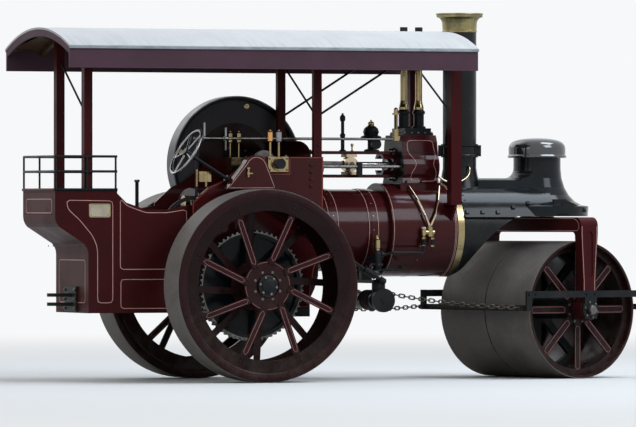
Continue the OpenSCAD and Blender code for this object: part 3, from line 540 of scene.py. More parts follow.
def scuffed_skin(s: Skin) -> None:
    """A roll's bare tread: lengthwise scrapes, dents, and dust that cakes in broad patches."""
    scrape = s.streaks((70.0, 9.0, 70.0), 5.0)
    pits = s.ramp(s.noise(s.place, 95.0, 3.0), 0.56, 0.66)
    broad = s.math("MULTIPLY", s.patches(6.0, 0.35, 0.65), 0.8)
    worn = s.worn(s.plus(broad, scrape, 0.5))
    s.give(Colour=s.blend(s.math("MULTIPLY", pits, 0.45), s.colour(worn), (0.03, 0.022, 0.018)),
           Roughness=s.roughness(worn), Height=s.plus(scrape, pits, -0.6))


def boarded_skin(s: Skin) -> None:
    """Varnished boards that run fore and aft, each its own shade, with dark joints."""
    across = s.math("DIVIDE", s.split(s.place)[1], BOARD_WIDTH)
    board = s.math("FLOOR", across)
    edge = s.math("ABSOLUTE", s.math("SUBTRACT", s.math("SUBTRACT", across, board), 0.5))
    joint = s.ramp(edge, 0.46, 0.495)
    seed = s.add("ShaderNodeTexWhiteNoise", {"noise_dimensions": "1D"}, W=board).outputs[0]
    grain = s.streaks((3.0, 60.0, 60.0), 5.0)
    tone = s.colour(s.worn(s.plus(s.math("MULTIPLY", seed, 0.5), grain, 0.6)))
    s.give(Colour=s.blend(s.math("MULTIPLY", joint, 0.8), tone, (0.02, 0.014, 0.01)),
           Roughness=s.roughness(grain),
           Height=s.math("SUBTRACT", s.math("MULTIPLY", grain, 0.2), joint))


def canvas_skin(s: Skin) -> None:
    """The roof's painted canvas: a fine weave, rain streaks towards the eaves, and mildew spots."""
    streak = s.ramp(s.streaks((26.0, 1.6, 1.6), 4.0), 0.45, 0.75)
    out = s.ramp(s.math("ABSOLUTE", s.split(s.place)[1]), 0.25, 0.83)
    broad = s.patches(5.0, 0.4, 0.7)
    worn = s.worn(s.plus(s.math("MULTIPLY", streak, out), broad, 0.5))
    weave = s.add("ShaderNodeTexWave", None, Vector=s.place, Scale=260.0, Distortion=0.6)
    height = s.plus(s.math("MULTIPLY", broad, 0.6), weave.outputs["Fac"], 0.3)
    s.give(Colour=s.colour(worn), Roughness=s.roughness(worn), Height=height)


class Grain(Enum):
    """The pattern that a finish's surface has."""

    PAINT = "painted_skin"
    CAST = "cast_skin"
    DRAWN = "brushed_skin"
    SCUFFED = "scuffed_skin"
    BOARDS = "boarded_skin"
    CANVAS = "canvas_skin"


SKINS = {Grain.PAINT: paint_skin, Grain.CAST: cast_skin, Grain.DRAWN: brushed_skin,
         Grain.SCUFFED: scuffed_skin, Grain.BOARDS: boarded_skin, Grain.CANVAS: canvas_skin}


def settled_dust() -> None:
    """Dust and splashes low down: more of it near the ground and in noise patches."""
    g = Group("settled_dust", {
        "Colour": (COLOUR, (0.5, 0.5, 0.5)), "Roughness": (FLOAT, 0.5),
        "Dust": (COLOUR, (0.13, 0.105, 0.08)), "Low": (FLOAT, 0.1), "High": (FLOAT, 1.2),
        "Amount": (FLOAT, 0.4)}, {"Colour": COLOUR, "Roughness": FLOAT})
    near = g.math("SUBTRACT", 1.0, g.ramp(g.split(g.place)[2], g.given["Low"], g.given["High"]))
    patch = g.ramp(g.noise(g.place, 7.0, 6.0, 0.7), 0.36, 0.68)
    mask = g.math("MULTIPLY", g.math("MULTIPLY", near, patch), g.given["Amount"], True)
    g.give(Colour=g.blend(mask, g.given["Colour"], g.given["Dust"]),
           Roughness=g.between(mask, g.given["Roughness"], 0.85))


def drum_zone() -> None:
    """A mask of what lies between two radii of an axis and between two places along it."""
    g = Group("drum_zone", {
        "Centre": (VECTOR, (0, 0, 0)), "Axis": (VECTOR, (0, 1, 0)), "Inner": (FLOAT, 0.0),
        "Outer": (FLOAT, 9.0), "From": (FLOAT, -9.0), "To": (FLOAT, 9.0)}, {"Mask": FLOAT})
    arm = g.vector("SUBTRACT", g.place, g.given["Centre"]).outputs[0]
    along = g.vector("DOT_PRODUCT", arm, g.given["Axis"]).outputs[1]
    foot = g.add("ShaderNodeVectorMath", {"operation": "SCALE"}, Scale=along)
    g.put(foot.inputs[0], g.given["Axis"])
    radius = g.vector("LENGTH", g.vector("SUBTRACT", arm, foot.outputs[0]).outputs[0]).outputs[1]
    mask = 1.0
    for value, low, high in ((radius, "Inner", "Outer"), (along, "From", "To")):
        mask = g.math("MULTIPLY", mask, g.math("GREATER_THAN", value, g.given[low]))
        mask = g.math("MULTIPLY", mask, g.math("LESS_THAN", value, g.given[high]))
    g.give(Mask=mask)


def block_zone() -> None:
    """A mask of what lies inside a box."""
    g = Group("block_zone", {"Low": (VECTOR, (0, 0, 0)), "High": (VECTOR, (1, 1, 1))},
              {"Mask": FLOAT})
    low = g.split(g.vector("SUBTRACT", g.place, g.given["Low"]).outputs[0])
    high = g.split(g.vector("SUBTRACT", g.given["High"], g.place).outputs[0])
    least = low[0]
    for gap in (low[1], low[2], high[0], high[1], high[2]):
        least = g.math("MINIMUM", least, gap)
    g.give(Mask=g.math("GREATER_THAN", least, 0.0))


@dataclass(frozen=True)
class Drum:
    """A zone round an axis, in millimetres: between two radii and two places along it."""

    centre: Vec
    axis: Vec
    inner: float = 0.0
    outer: float = 9000.0
    start: float = -9000.0
    end: float = 9000.0

    def mask(self, t: Tree) -> Socket:
        """The zone's mask in a material."""
        unit = tuple(np.array(self.axis, float) / np.linalg.norm(self.axis))
        return t.use("drum_zone", Centre=metres(self.centre), Axis=unit, Inner=self.inner / 1000,
                     Outer=self.outer / 1000, From=self.start / 1000, To=self.end / 1000)[0]


@dataclass(frozen=True)
class Block:
    """A zone inside a box, in millimetres."""

    low: Vec
    high: Vec

    def mask(self, t: Tree) -> Socket:
        """The zone's mask in a material."""
        return t.use("block_zone", Low=metres(self.low), High=metres(self.high))[0]


@dataclass(frozen=True)
class Finish:
    """One finish: its colours, how rough it is, and how it wears.

    Args:
        name: The material's name.
        slot: The record's material slot.
        base: The colour as new.
        worn: The colour where it is faded, dirty or rubbed.
        grain: The pattern of the surface.
        metallic: 1 for bare metal.
        smooth: Roughness as new.
        rough: Roughness where worn.
        scale: Patches to the metre.
        amount: How much of it is worn.
        depth: Depth of the relief in metres.
        coat: Weight of the varnish over it.
        dust: How much dust lies on it low down.
        shine: How strongly the bare surface mirrors; 0.5 is plain gloss paint in the open.
    """

    name: str
    slot: str
    base: Rgb
    worn: Rgb
    grain: Grain = Grain.PAINT
    metallic: float = 0.0
    smooth: float = 0.3
    rough: float = 0.6
    scale: float = 6.0
    amount: float = 0.3
    depth: float = 0.0004
    coat: float = 0.0
    dust: float = 0.0
    shine: float = 0.16

    def skin(self, t: Tree) -> tuple[Socket, Socket, Socket]:
        """The finish's colour, roughness and height in a material."""
        found = t.use(self.grain.value, Base=self.base, Worn=self.worn, Scale=self.scale,
                      Amount=self.amount, Smooth=self.smooth, Rough=self.rough)
        return found["Colour"], found["Roughness"], found["Height"]

    def material(self, zones: tuple[tuple[Drum | Block, "Finish"], ...] = (),
                 key: str = "") -> bpy.types.Material:
        """A material of this finish, with other finishes inside their zones.

        Args:
            zones: Pairs of a zone and the finish inside it, later ones on top.
            key: A name to tell this use from others.
        """
        name = self.name + ("_" + key if key else "")
        known = bpy.data.materials.get(name)
        if known is not None:
            return known
        material = bpy.data.materials.new(name)
        material.use_nodes = True
        t = Tree(material.node_tree)
        colour, rough, height = self.skin(t)
        metallic: object = self.metallic
        coat: object = self.coat
        for zone, other in zones:
            mask = zone.mask(t)
            c, r, h = other.skin(t)
            colour = t.blend(mask, colour, c)
            rough, height = t.between(mask, rough, r), t.between(mask, height, h)
            if other.metallic != metallic:
                metallic = t.between(mask, metallic, other.metallic)
            if other.coat != coat:
                coat = t.between(mask, coat, other.coat)
        if self.dust > 0:
            lay = t.use("settled_dust", Colour=colour, Roughness=rough, Amount=self.dust)
            colour, rough = lay["Colour"], lay["Roughness"]
        bump = t.add("ShaderNodeBump", None, Strength=0.5, Distance=self.depth, Height=height)
        shader = t.add("ShaderNodeBsdfPrincipled", None, Base_Color=colour, Roughness=rough,
                       Metallic=metallic, Coat_Weight=coat, Coat_Roughness=0.04, Coat_IOR=1.2,
                       IOR=1.5, Specular_IOR_Level=self.shine, Normal=bump.outputs[0])
        t.tree.nodes.active = t.add("ShaderNodeOutputMaterial", None, Surface=shader.outputs[0])
        material["slot"] = self.slot
        return material


MAROON = Finish("maroon_gloss", "maroon", (0.058, 0.0072, 0.0085), (0.04, 0.0085, 0.0085),
                smooth=0.13, rough=0.3, scale=3.0, amount=0.5, depth=0.0001, coat=0.3, dust=0.08,
                shine=0.12)
MAROON_DARK = Finish("maroon_shaded", "maroon", (0.026, 0.0058, 0.0068), (0.02, 0.0085, 0.0085),
                     smooth=0.2, rough=0.5, scale=5.0, amount=0.6, depth=0.0002, coat=0.2,
                     dust=0.2, shine=0.1)
LINING = Finish("lining_salmon", "maroon", (0.66, 0.38, 0.33), (0.45, 0.24, 0.21), rough=0.5,
                scale=9.0, amount=0.5, depth=0.0001, coat=0.4)
LINING_RED = Finish("lining_orange", "maroon", (0.5, 0.1, 0.06), (0.34, 0.075, 0.045), rough=0.5,
                    scale=9.0, amount=0.5, depth=0.0001, coat=0.4)
LINING_CREAM = Finish("lining_cream", "maroon", (0.72, 0.62, 0.45), (0.5, 0.42, 0.3), smooth=0.35,
                      scale=9.0, amount=0.5, depth=0.0001, coat=0.3)
BLACK = Finish("black_satin", "black", (0.010, 0.012, 0.014), (0.022, 0.021, 0.02), smooth=0.32,
               scale=5.0, amount=0.4, depth=0.0002, dust=0.12, shine=0.12)
CAST_BLACK = Finish("black_casting", "black", (0.008, 0.011, 0.0135), (0.018, 0.0195, 0.021),
                    grain=Grain.CAST, smooth=0.1, rough=0.22, scale=5.0, amount=0.4, depth=0.0003,
                    dust=0.06, shine=0.17)
SOOTED = Finish("smokebox_black", "black", (0.010, 0.011, 0.012), (0.024, 0.0235, 0.023),
                grain=Grain.CAST, smooth=0.17, rough=0.42, scale=4.0, amount=0.5, depth=0.0003,
                dust=0.15)
BRASS = Finish("polished_brass", "brass", (0.33, 0.26, 0.135), (0.18, 0.14, 0.077),
               grain=Grain.DRAWN, metallic=1.0, smooth=0.13, rough=0.34, scale=9.0, amount=0.4,
               depth=0.00008)
COPPER = Finish("smoked_copper", "copper", (0.28, 0.235, 0.11), (0.1, 0.093, 0.058),
                grain=Grain.DRAWN, metallic=1.0, smooth=0.26, rough=0.55, scale=7.0, amount=0.7,
                depth=0.0001)
STEEL = Finish("bright_steel", "steel", (0.3, 0.3, 0.305), (0.12, 0.11, 0.1), grain=Grain.DRAWN,
               metallic=1.0, smooth=0.2, rough=0.45, scale=12.0, amount=0.5, depth=0.0001)
OILED = Finish("oiled_steel", "steel", (0.15, 0.145, 0.14), (0.06, 0.05, 0.04), grain=Grain.DRAWN,
               metallic=1.0, smooth=0.26, rough=0.55, scale=12.0, amount=0.6, depth=0.0001)
PIPE = Finish("polished_pipe", "brass", (0.52, 0.43, 0.31), (0.34, 0.26, 0.18), grain=Grain.DRAWN,
              metallic=1.0, smooth=0.12, rough=0.3, scale=10.0, depth=0.00006)
TREAD = Finish("bare_tread", "rolled", (0.125, 0.115, 0.107), (0.235, 0.215, 0.2),
               grain=Grain.SCUFFED, metallic=0.35, smooth=0.4, rough=0.8, scale=2.4, amount=0.85,
               depth=0.0009, dust=0.3)
ROOF = Finish("roof_canvas", "roof", (0.55, 0.555, 0.56), (0.42, 0.42, 0.415), grain=Grain.CANVAS,
              smooth=0.5, rough=0.75, scale=2.2, amount=0.5, depth=0.0005)
BOARDS = Finish("varnished_boards", "wood", (0.15, 0.085, 0.03), (0.05, 0.026, 0.015),
                grain=Grain.BOARDS, smooth=0.35, scale=4.0, amount=0.9, depth=0.001, coat=0.3)
TIMBER = Finish("roof_timber", "wood", (0.09, 0.05, 0.025), (0.04, 0.022, 0.014),
                grain=Grain.BOARDS, smooth=0.4, rough=0.7, scale=4.0, amount=0.8, depth=0.0006,
                coat=0.15)
GUTTER = Finish("gutter_grey", "roof", (0.4, 0.45, 0.48), (0.24, 0.27, 0.29), smooth=0.4,
                rough=0.65, scale=8.0, amount=0.6, depth=0.0003)
WHITE = Finish("plate_cream", "brass", (0.6, 0.53, 0.4), (0.4, 0.34, 0.25), smooth=0.4,
               scale=12.0, amount=0.5, depth=0.0001, coat=0.2)
# Deep maroon for the rolls' spokes and recessed rings: painted shade, where the rolls' insides lie
# in shadow.
MAROON_PAINTED_SHADE = Finish("maroon_recess_painted_shade", "maroon", (0.014, 0.0045, 0.005), (0.014, 0.0075, 0.0075),
                     smooth=0.26, rough=0.55, scale=5.0, amount=0.6, depth=0.0003, dust=0.2,
                     shine=0.1)
VALANCE = Finish("maroon_valance", "maroon", (0.098, 0.054, 0.072), (0.072, 0.04, 0.053),
                 smooth=0.45, scale=2.0, amount=0.45, depth=0.0002, shine=0.07)
LINING_ROSE = Finish("lining_rose", "maroon", (0.38, 0.15, 0.15), (0.24, 0.095, 0.09),
                     smooth=0.35, scale=9.0, amount=0.5, depth=0.0001, coat=0.4)
OIL_GLASS = Finish("sight_glass", "brass", (0.13, 0.065, 0.022), (0.08, 0.04, 0.016), smooth=0.08,
                   rough=0.2, scale=12.0, amount=0.4, depth=0.0001, coat=0.8)
OIL_CUP = Finish("copper_cup", "copper", (0.62, 0.33, 0.13), (0.42, 0.2, 0.09), grain=Grain.DRAWN,
                 metallic=1.0, smooth=0.2, rough=0.4, scale=12.0, amount=0.4, depth=0.0001)
MAROON_REAR = Finish("maroon_tender", "maroon", (0.055, 0.0068, 0.008), (0.036, 0.008, 0.008),
                     smooth=0.36, rough=0.52, scale=3.0, amount=0.5, depth=0.0001, dust=0.08,
                     shine=0.07)
# A dark grey, lighter than the flywheel's black paint: painted light that lifts its face out of the
# canopy's shadow.
RIM_LIFTED_BLACK = Finish("flywheel_black_painted_light", "black", (0.095, 0.092, 0.102), (0.11, 0.106, 0.114),
                   rough=0.5, scale=4.0, amount=0.5, depth=0.0002)
# The dome cover is cast black like the headstock. It is given more gloss, and a lighter, bluer
# colour that is a painted highlight of the sky.
DOME_LIT_BLACK = Finish("dome_gloss_painted_highlight", "black", (0.016, 0.021, 0.025), (0.024, 0.028, 0.031),
                    grain=Grain.CAST, smooth=0.08, rough=0.18, scale=5.0, amount=0.4,
                    depth=0.0002, shine=1.0)
PALE_NUT = Finish("whited_nut", "steel", (0.62, 0.62, 0.6), (0.45, 0.44, 0.42), smooth=0.35,
                  scale=20.0, amount=0.4, depth=0.0001)
BELT_FACE = Finish("worn_belt_face", "steel", (0.05, 0.055, 0.062), (0.1, 0.1, 0.1),
                   grain=Grain.DRAWN, metallic=0.9, smooth=0.24, rough=0.45, scale=10.0,
                   amount=0.6, depth=0.0001)
SCRAPER = Finish("scraper_edge", "black", (0.02, 0.019, 0.018), (0.05, 0.042, 0.035),
                 grain=Grain.CAST, smooth=0.4, rough=0.7, scale=9.0, amount=0.6, dust=0.5)
CHAIN = Finish("greased_chain", "steel", (0.09, 0.08, 0.07), (0.035, 0.027, 0.02),
               grain=Grain.CAST, metallic=0.8, smooth=0.35, rough=0.65, scale=20.0, amount=0.7,
               depth=0.0003)


# Pieces

def piece(name: str, *looks: tuple, body: str = "engine") -> bpy.types.Object:
    """Makes one visible piece: welds its seams and poles, turns its faces outwards and dresses it.

    Args:
        name: The piece's name.
        looks: Tuples of a finish and the shapes in it.
        body: The body that it rides on, or nothing for a piece that is left on no body.

    Returns:
        The new object, riding on its body.
    """
    pairs = [(shape, finish) for finish, *shapes in looks for shape in shapes]
    whole = Shape.join([shape for shape, _ in pairs])
    mesh = bpy.data.meshes.new(name)
    places = (whole.verts - np.array([MID, 0, 0])) / 1000
    mesh.from_pydata(places.tolist(), [], whole.quads.tolist())
    finishes = list(dict.fromkeys(finish for _, finish in pairs))
    for finish in finishes:
        mesh.materials.append(finish.material())
    index = [np.full(len(shape.quads), finishes.index(finish), np.int32) for shape, finish in pairs]
    mesh.polygons.foreach_set("material_index", np.concatenate(index))
    work = bmesh.new()
    work.from_mesh(mesh)
    bmesh.ops.remove_doubles(work, verts=work.verts, dist=WELD)
    bmesh.ops.recalc_face_normals(work, faces=work.faces)
    for face in work.faces:
        face.smooth = True
    work.to_mesh(mesh)
    work.free()
    mesh.set_sharp_from_angle(angle=math.radians(SMOOTH_DEG))
    obj = bpy.data.objects.new(name, mesh)
    bpy.context.scene.collection.objects.link(obj)
    if body:
        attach(obj, body)
    LOG.info("%s: %d faces on %s", name, len(mesh.polygons), body)
    return obj


def dress(node: str, finish: Finish, *zones: tuple[Drum | Block, Finish]) -> None:
    """Gives a node of the frame its finish.

    Args:
        node: The node's name.
        finish: The finish all over.
        zones: Pairs of a zone and the finish inside it.
    """
    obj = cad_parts[node]
    material = finish.material(zones, node if zones else "")
    for slot in obj.material_slots:
        slot.link = "OBJECT"
        slot.material = material
    LOG.info("%s dressed in %s", node, material.name)


def steered(shape: Shape) -> Shape:
    """A shape drawn straight ahead about the pivot, moved there and turned to the resting angle."""
    return shape.moved(PIVOT).turned(UP, STEER, PIVOT)


def painted(path: np.ndarray, width: float, outward: Vec | np.ndarray, closed: bool = False,
            lift: float = PAINT_LIFT) -> Shape:
    """A painted line along a path on a surface that faces outward."""
    return sweep(path, strip(width, lift), outward, closed)


def painted_ring(radius: float, width: float, centre: Vec, axis: Vec) -> Shape:
    """A painted circle on a flat face: a line's section turned about its axis."""
    return revolve(strip(width, PAINT_LIFT) + [radius, 0], centre, axis, 96, True)


def stepped(flat: np.ndarray, pitch: float, closed: bool = True) -> np.ndarray:
    """Points about a pitch apart along an outline, measured along it."""
    line = np.vstack([flat, flat[:1]]) if closed else flat
    run = np.concatenate([[0], np.cumsum(np.linalg.norm(np.diff(line, axis=0), axis=1))])
    count = max(int(run[-1] / pitch), 2)
    at = np.linspace(0, run[-1], count, endpoint=not closed)
    return np.stack([np.interp(at, run, line[:, k]) for k in range(line.shape[1])], 1)


@dataclass
class Studio:
    """Camera, lamps, sky and floor.

    Args:
        azimuth: The camera's bearing in degrees; 0 looks along +Y.
        distance: Metres from the camera to the object.
        centre: The place in the frame's metres at the middle of the picture.
        lens: Focal length on a 36 mm sensor.
        pale: The colour of the far surroundings.
        floor_colour: The floor's colour to the camera and to what mirrors it.
        floor_bounce: Its darker colour to light that spreads from it on to the machine.
    """

    azimuth: float = -22.0
    distance: float = 60.0
    centre: Vec = (-0.202, 0.0, 1.465)
    lens: float = 383.8
    pale: Rgb = (0.93, 0.94, 0.95)
    floor_colour: Rgb = (0.68, 0.68, 0.67)
    floor_bounce: Rgb = (0.3, 0.3, 0.295)

    def camera(self) -> None:
        """A level camera at the photograph's bearing."""
        a = math.radians(self.azimuth)
        data = bpy.data.cameras.new("camera")
        data.lens, data.sensor_width, data.clip_end = self.lens, 36.0, 2000.0
        cam = bpy.data.objects.new("camera", data)
        back = (math.sin(a), -math.cos(a), 0.0)
        cam.location = tuple(c + self.distance * b for c, b in zip(self.centre, back))
        cam.rotation_euler = (math.pi / 2, 0.0, a)
        bpy.context.scene.collection.objects.link(cam)
        bpy.context.scene.camera = cam

    def lamp(self, name: str, place: Vec, target: Vec, size: float, watts: float,
             colour: Rgb) -> None:
        """A square area lamp aimed at a place."""
        data = bpy.data.lights.new(name, "AREA")
        data.shape, data.size, data.energy, data.color = "SQUARE", size, watts, colour
        obj = bpy.data.objects.new(name, data)
        obj.location = place
        aim = np.array(target, float) - np.array(place, float)
        obj.rotation_euler = Vector(aim).to_track_quat("-Z", "Y").to_euler()
        bpy.context.scene.collection.objects.link(obj)

    def shows(self, t: Tree) -> Socket:
        """1 for rays that show the pale surroundings: the camera's, off metal and through glass."""
        rays = t.add("ShaderNodeLightPath").outputs
        bright = t.math("MAXIMUM", rays["Is Glossy Ray"], rays["Is Transmission Ray"])
        return t.math("MAXIMUM", rays["Is Camera Ray"], bright)

    def sky(self) -> None:
        """An overcast sky, bright above and dim low down; pale to the camera, metal and glass."""
        world = bpy.data.worlds.new("sky")
        bpy.context.scene.world = world
        world.use_nodes = True
        t = Tree(world.node_tree)
        up = t.split(t.add("ShaderNodeTexCoord").outputs["Generated"])[2]
        lit = t.add("ShaderNodeValToRGB", None, Fac=up)
        horizon, zenith = lit.color_ramp.elements
        horizon.color, zenith.color = (0.09, 0.09, 0.09, 1.0), (0.94, 1.0, 1.07, 1.0)
        glow = t.add("ShaderNodeBackground", None, Color=lit.outputs[0], Strength=0.85)
        plain = t.add("ShaderNodeBackground", None, Color=self.pale, Strength=1.0)
        mix = t.shade(self.shows(t), glow, plain)
        t.add("ShaderNodeOutputWorld", None, Surface=mix.outputs[0])

    def floor(self) -> None:
        """A wide plain floor that fades into the pale sky far off."""
        sides = 96
        radii = np.array([0.0, 4.0, 8.0, 14.0, 30.0, 90.0, 1200.0])
        a = np.linspace(0, 2 * np.pi, sides, endpoint=False)
        points = np.stack([radii[:, None] * np.cos(a), radii[:, None] * np.sin(a),
                           np.full((len(radii), sides), -0.002)], -1)
        shape = lattice(points, False, True)
        mesh = bpy.data.meshes.new("floor")
        mesh.from_pydata(shape.verts.tolist(), [], shape.quads.tolist())
        mesh.validate()
        material = bpy.data.materials.new("floor_plain")
        material.use_nodes = True
        t = Tree(material.node_tree)
        place = t.add("ShaderNodeTexCoord").outputs["Object"]
        far = t.ramp(t.vector("LENGTH", place).outputs[1], 4.0, 24.0)
        shows = self.shows(t)
        plain = t.shade(shows, t.add("ShaderNodeBsdfDiffuse", None, Color=self.floor_bounce),
                        t.add("ShaderNodeBsdfDiffuse", None, Color=self.floor_colour))
        glow = t.add("ShaderNodeEmission", None, Color=self.pale, Strength=1.0)
        mix = t.shade(t.math("MULTIPLY", shows, far), plain, glow)
        t.add("ShaderNodeOutputMaterial", None, Surface=mix.outputs[0])
        mesh.materials.append(material)
        obj = bpy.data.objects.new("floor", mesh)
        bpy.context.scene.collection.objects.link(obj)

    def build(self) -> None:
        """Sets up the whole studio."""
        bpy.context.scene.view_settings.view_transform = "Standard"
        self.camera()
        self.sky()
        self.floor()
        self.lamp("overhead", (6.5, -1.5, 13.5), (1.5, 0, 1.2), 6.0, 900.0, (0.88, 0.98, 1.1))
        self.lamp("key", (9.0, -14.5, 13.0), (1.0, 0, 1.2), 9.0, 1700.0, (0.92, 0.99, 1.07))
        self.lamp("rear", (-15.0, -5.0, 10.0), (0.5, 0, 1.2), 12.0, 500.0, (1.0, 0.99, 0.98))
        self.lamp("back", (-4.0, 15.0, 12.0), (0, 0, 1.5), 14.0, 600.0, (1.0, 1.0, 1.0))


@dataclass
class RearRoll:
    """The lining, rivets and hub parts of one rear roll.

    Args:
        side: -1 for the right roll, 1 for the left.
        inner: Its inner face's half width.
        outer: Its outer face's half width.
        spokes: How many spokes a face has.
        foot_r: Radius of a spoke's foot.
        tip_r: Radius of a spoke's tip.
        rim_deg: Where the first spoke meets the rim, from +X towards +Z.
        lead_deg: How far the spoke's foot is ahead of that.
    """

    side: int
    inner: float = 675.0
    outer: float = 1055.0
    spokes: int = 8
    foot_r: float = 190.0
    tip_r: float = 728.0
    rim_deg: float = 24.0
    lead_deg: float = 13.0

    def on_spoke(self, flat: np.ndarray, y: float, first: float) -> np.ndarray:
        """Points (along, across) of a spoke, from its foot outwards, as places on its face at y."""
        foot, tip = math.radians(first + self.lead_deg), math.radians(first)
        p = self.foot_r * np.array([math.cos(foot), math.sin(foot)])
        q = self.tip_r * np.array([math.cos(tip), math.sin(tip)])
        d = (q - p) / np.linalg.norm(q - p)
        at = p + flat[:, :1] * d + flat[:, 1:] * np.array([-d[1], d[0]])
        return in_plane_y(at + [0, REAR_R], y)

    def build(self) -> None:
        """Makes the roll's pieces and dresses its node."""
        s, hub = self.side, (0.0, 0.0, REAR_R)
        name, body = "roll_rear_" + HANDS[s], "rear_roll_" + HANDS[s]
        out: Vec = (0, s, 0)
        # Painted shade inside the roll: the drum's inside is black, and the ring behind the rim is
        # deep maroon.
        zones = [(Drum(hub, out, 560, 812, self.inner + 40, self.outer - 40), BLACK),
                 (Drum(hub, out, 640, 752, self.outer - 40, self.outer - 8), MAROON_PAINTED_SHADE),
                 (Drum(hub, ALONG_Y, REAR_R - 4), TREAD)]
        if s < 0:
            gear = (self.inner - 113, self.inner - 20)
            zones += [(Drum(hub, out, 0, 500, *gear), CAST_BLACK),
                      (Drum(hub, out, 458, 500, *gear), OILED)]
        dress(name, MAROON_DARK, *zones)
        loop = stepped(fillet([(32, -19), (450, -19), (450, 19), (32, 19)], 14, 4), 40)
        outside = self.on_spoke(loop, s * (self.outer - 22), self.rim_deg)
        inside = self.on_spoke(loop, s * (self.inner + 22), self.rim_deg + 180 / self.spokes)
        lines = [painted(path, 5.0, face, True).spun(ALONG_Y, hub, self.spokes)
                 for path, face in ((outside, out), (inside, (0, -s, 0)))]
        ring = painted_ring(205, 4, (0, s * (self.outer - 32), REAR_R), out)
        piece(name + "_lining", (LINING_ROSE, *lines, ring), body=body)
        foot = np.array([[12.0, -17], [12, 17]])
        tip = np.array([[486.0, -16], [486, 16], [522, -16], [522, 16]])
        rim = (0, s * (self.outer - 12), REAR_R)
        ends = np.vstack([self.on_spoke(foot, s * (self.outer - 22), self.rim_deg),
                          self.on_spoke(tip, rim[1], self.rim_deg)])
        cap = (0, s * (self.outer - 45), REAR_R)
        piece(name + "_rivets",
              (MAROON_DARK, dome(10, 7, out).copies(ends).spun(ALONG_Y, hub, self.spokes),
               dome(8, 5.5, out).copies(round_places(rim, ALONG_Y, 664, 40, 4.5))),
              (OILED, nut(15, 14, out, 8).copies(round_places(cap, ALONG_Y, 124, 8, 22))),
              body=body)


@dataclass
class FrontRoll:
    """The lining and rivets of one half of the front roll.

    Args:
        side: -1 for the right half, 1 for the left.
        outer: Its outer face's distance from the middle.
    """

    side: int
    outer: float = 615.0

    def build(self) -> None:
        """Makes the half's pieces and dresses its node."""
        s = self.side
        name, body = "roll_front_" + HANDS[s], "front_roll_" + HANDS[s]
        hub = (PIVOT[0], PIVOT[1], FRONT_R)
        out = tuple(s * c for c in FRONT_AXIS)
        face = s * (self.outer - 56)
        web = self.outer - 72
        # Painted shade inside the open roll: black towards the middle, deep maroon towards the
        # face.
        dress(name, MAROON_DARK, (Drum(hub, out, 0, 584, 0, web), BLACK),
              (Drum(hub, out, 0, 584, web, self.outer - 50), MAROON_PAINTED_SHADE),
              (Drum(hub, FRONT_AXIS, FRONT_R - 4), TREAD))
        loop = stepped(fillet([(146, -26), (534, -26), (534, 26), (146, 26)], 14, 4), 40)
        line = painted(in_plane_y(loop + [0, FRONT_R], face), 5.0, (0, s, 0), True)
        lines = steered(line.spun(ALONG_Y, (0, 0, FRONT_R), 8))
        piece(name + "_lining", (LINING_ROSE, lines), body=body)
        centre = (0, face, FRONT_R)
        feet = np.vstack([round_places(centre, ALONG_Y, r, 8, first)
                          for r, first in ((552, 0), (572, -2), (572, 2))])
        hub_nuts = round_places(centre, ALONG_Y, 108, 8, 22.5)
        piece(name + "_rivets", (MAROON_DARK, steered(dome(9, 6, (0, s, 0)).copies(feet))),
              (OILED, steered(nut(13, 12, (0, s, 0), 6).copies(hub_nuts))), body=body)


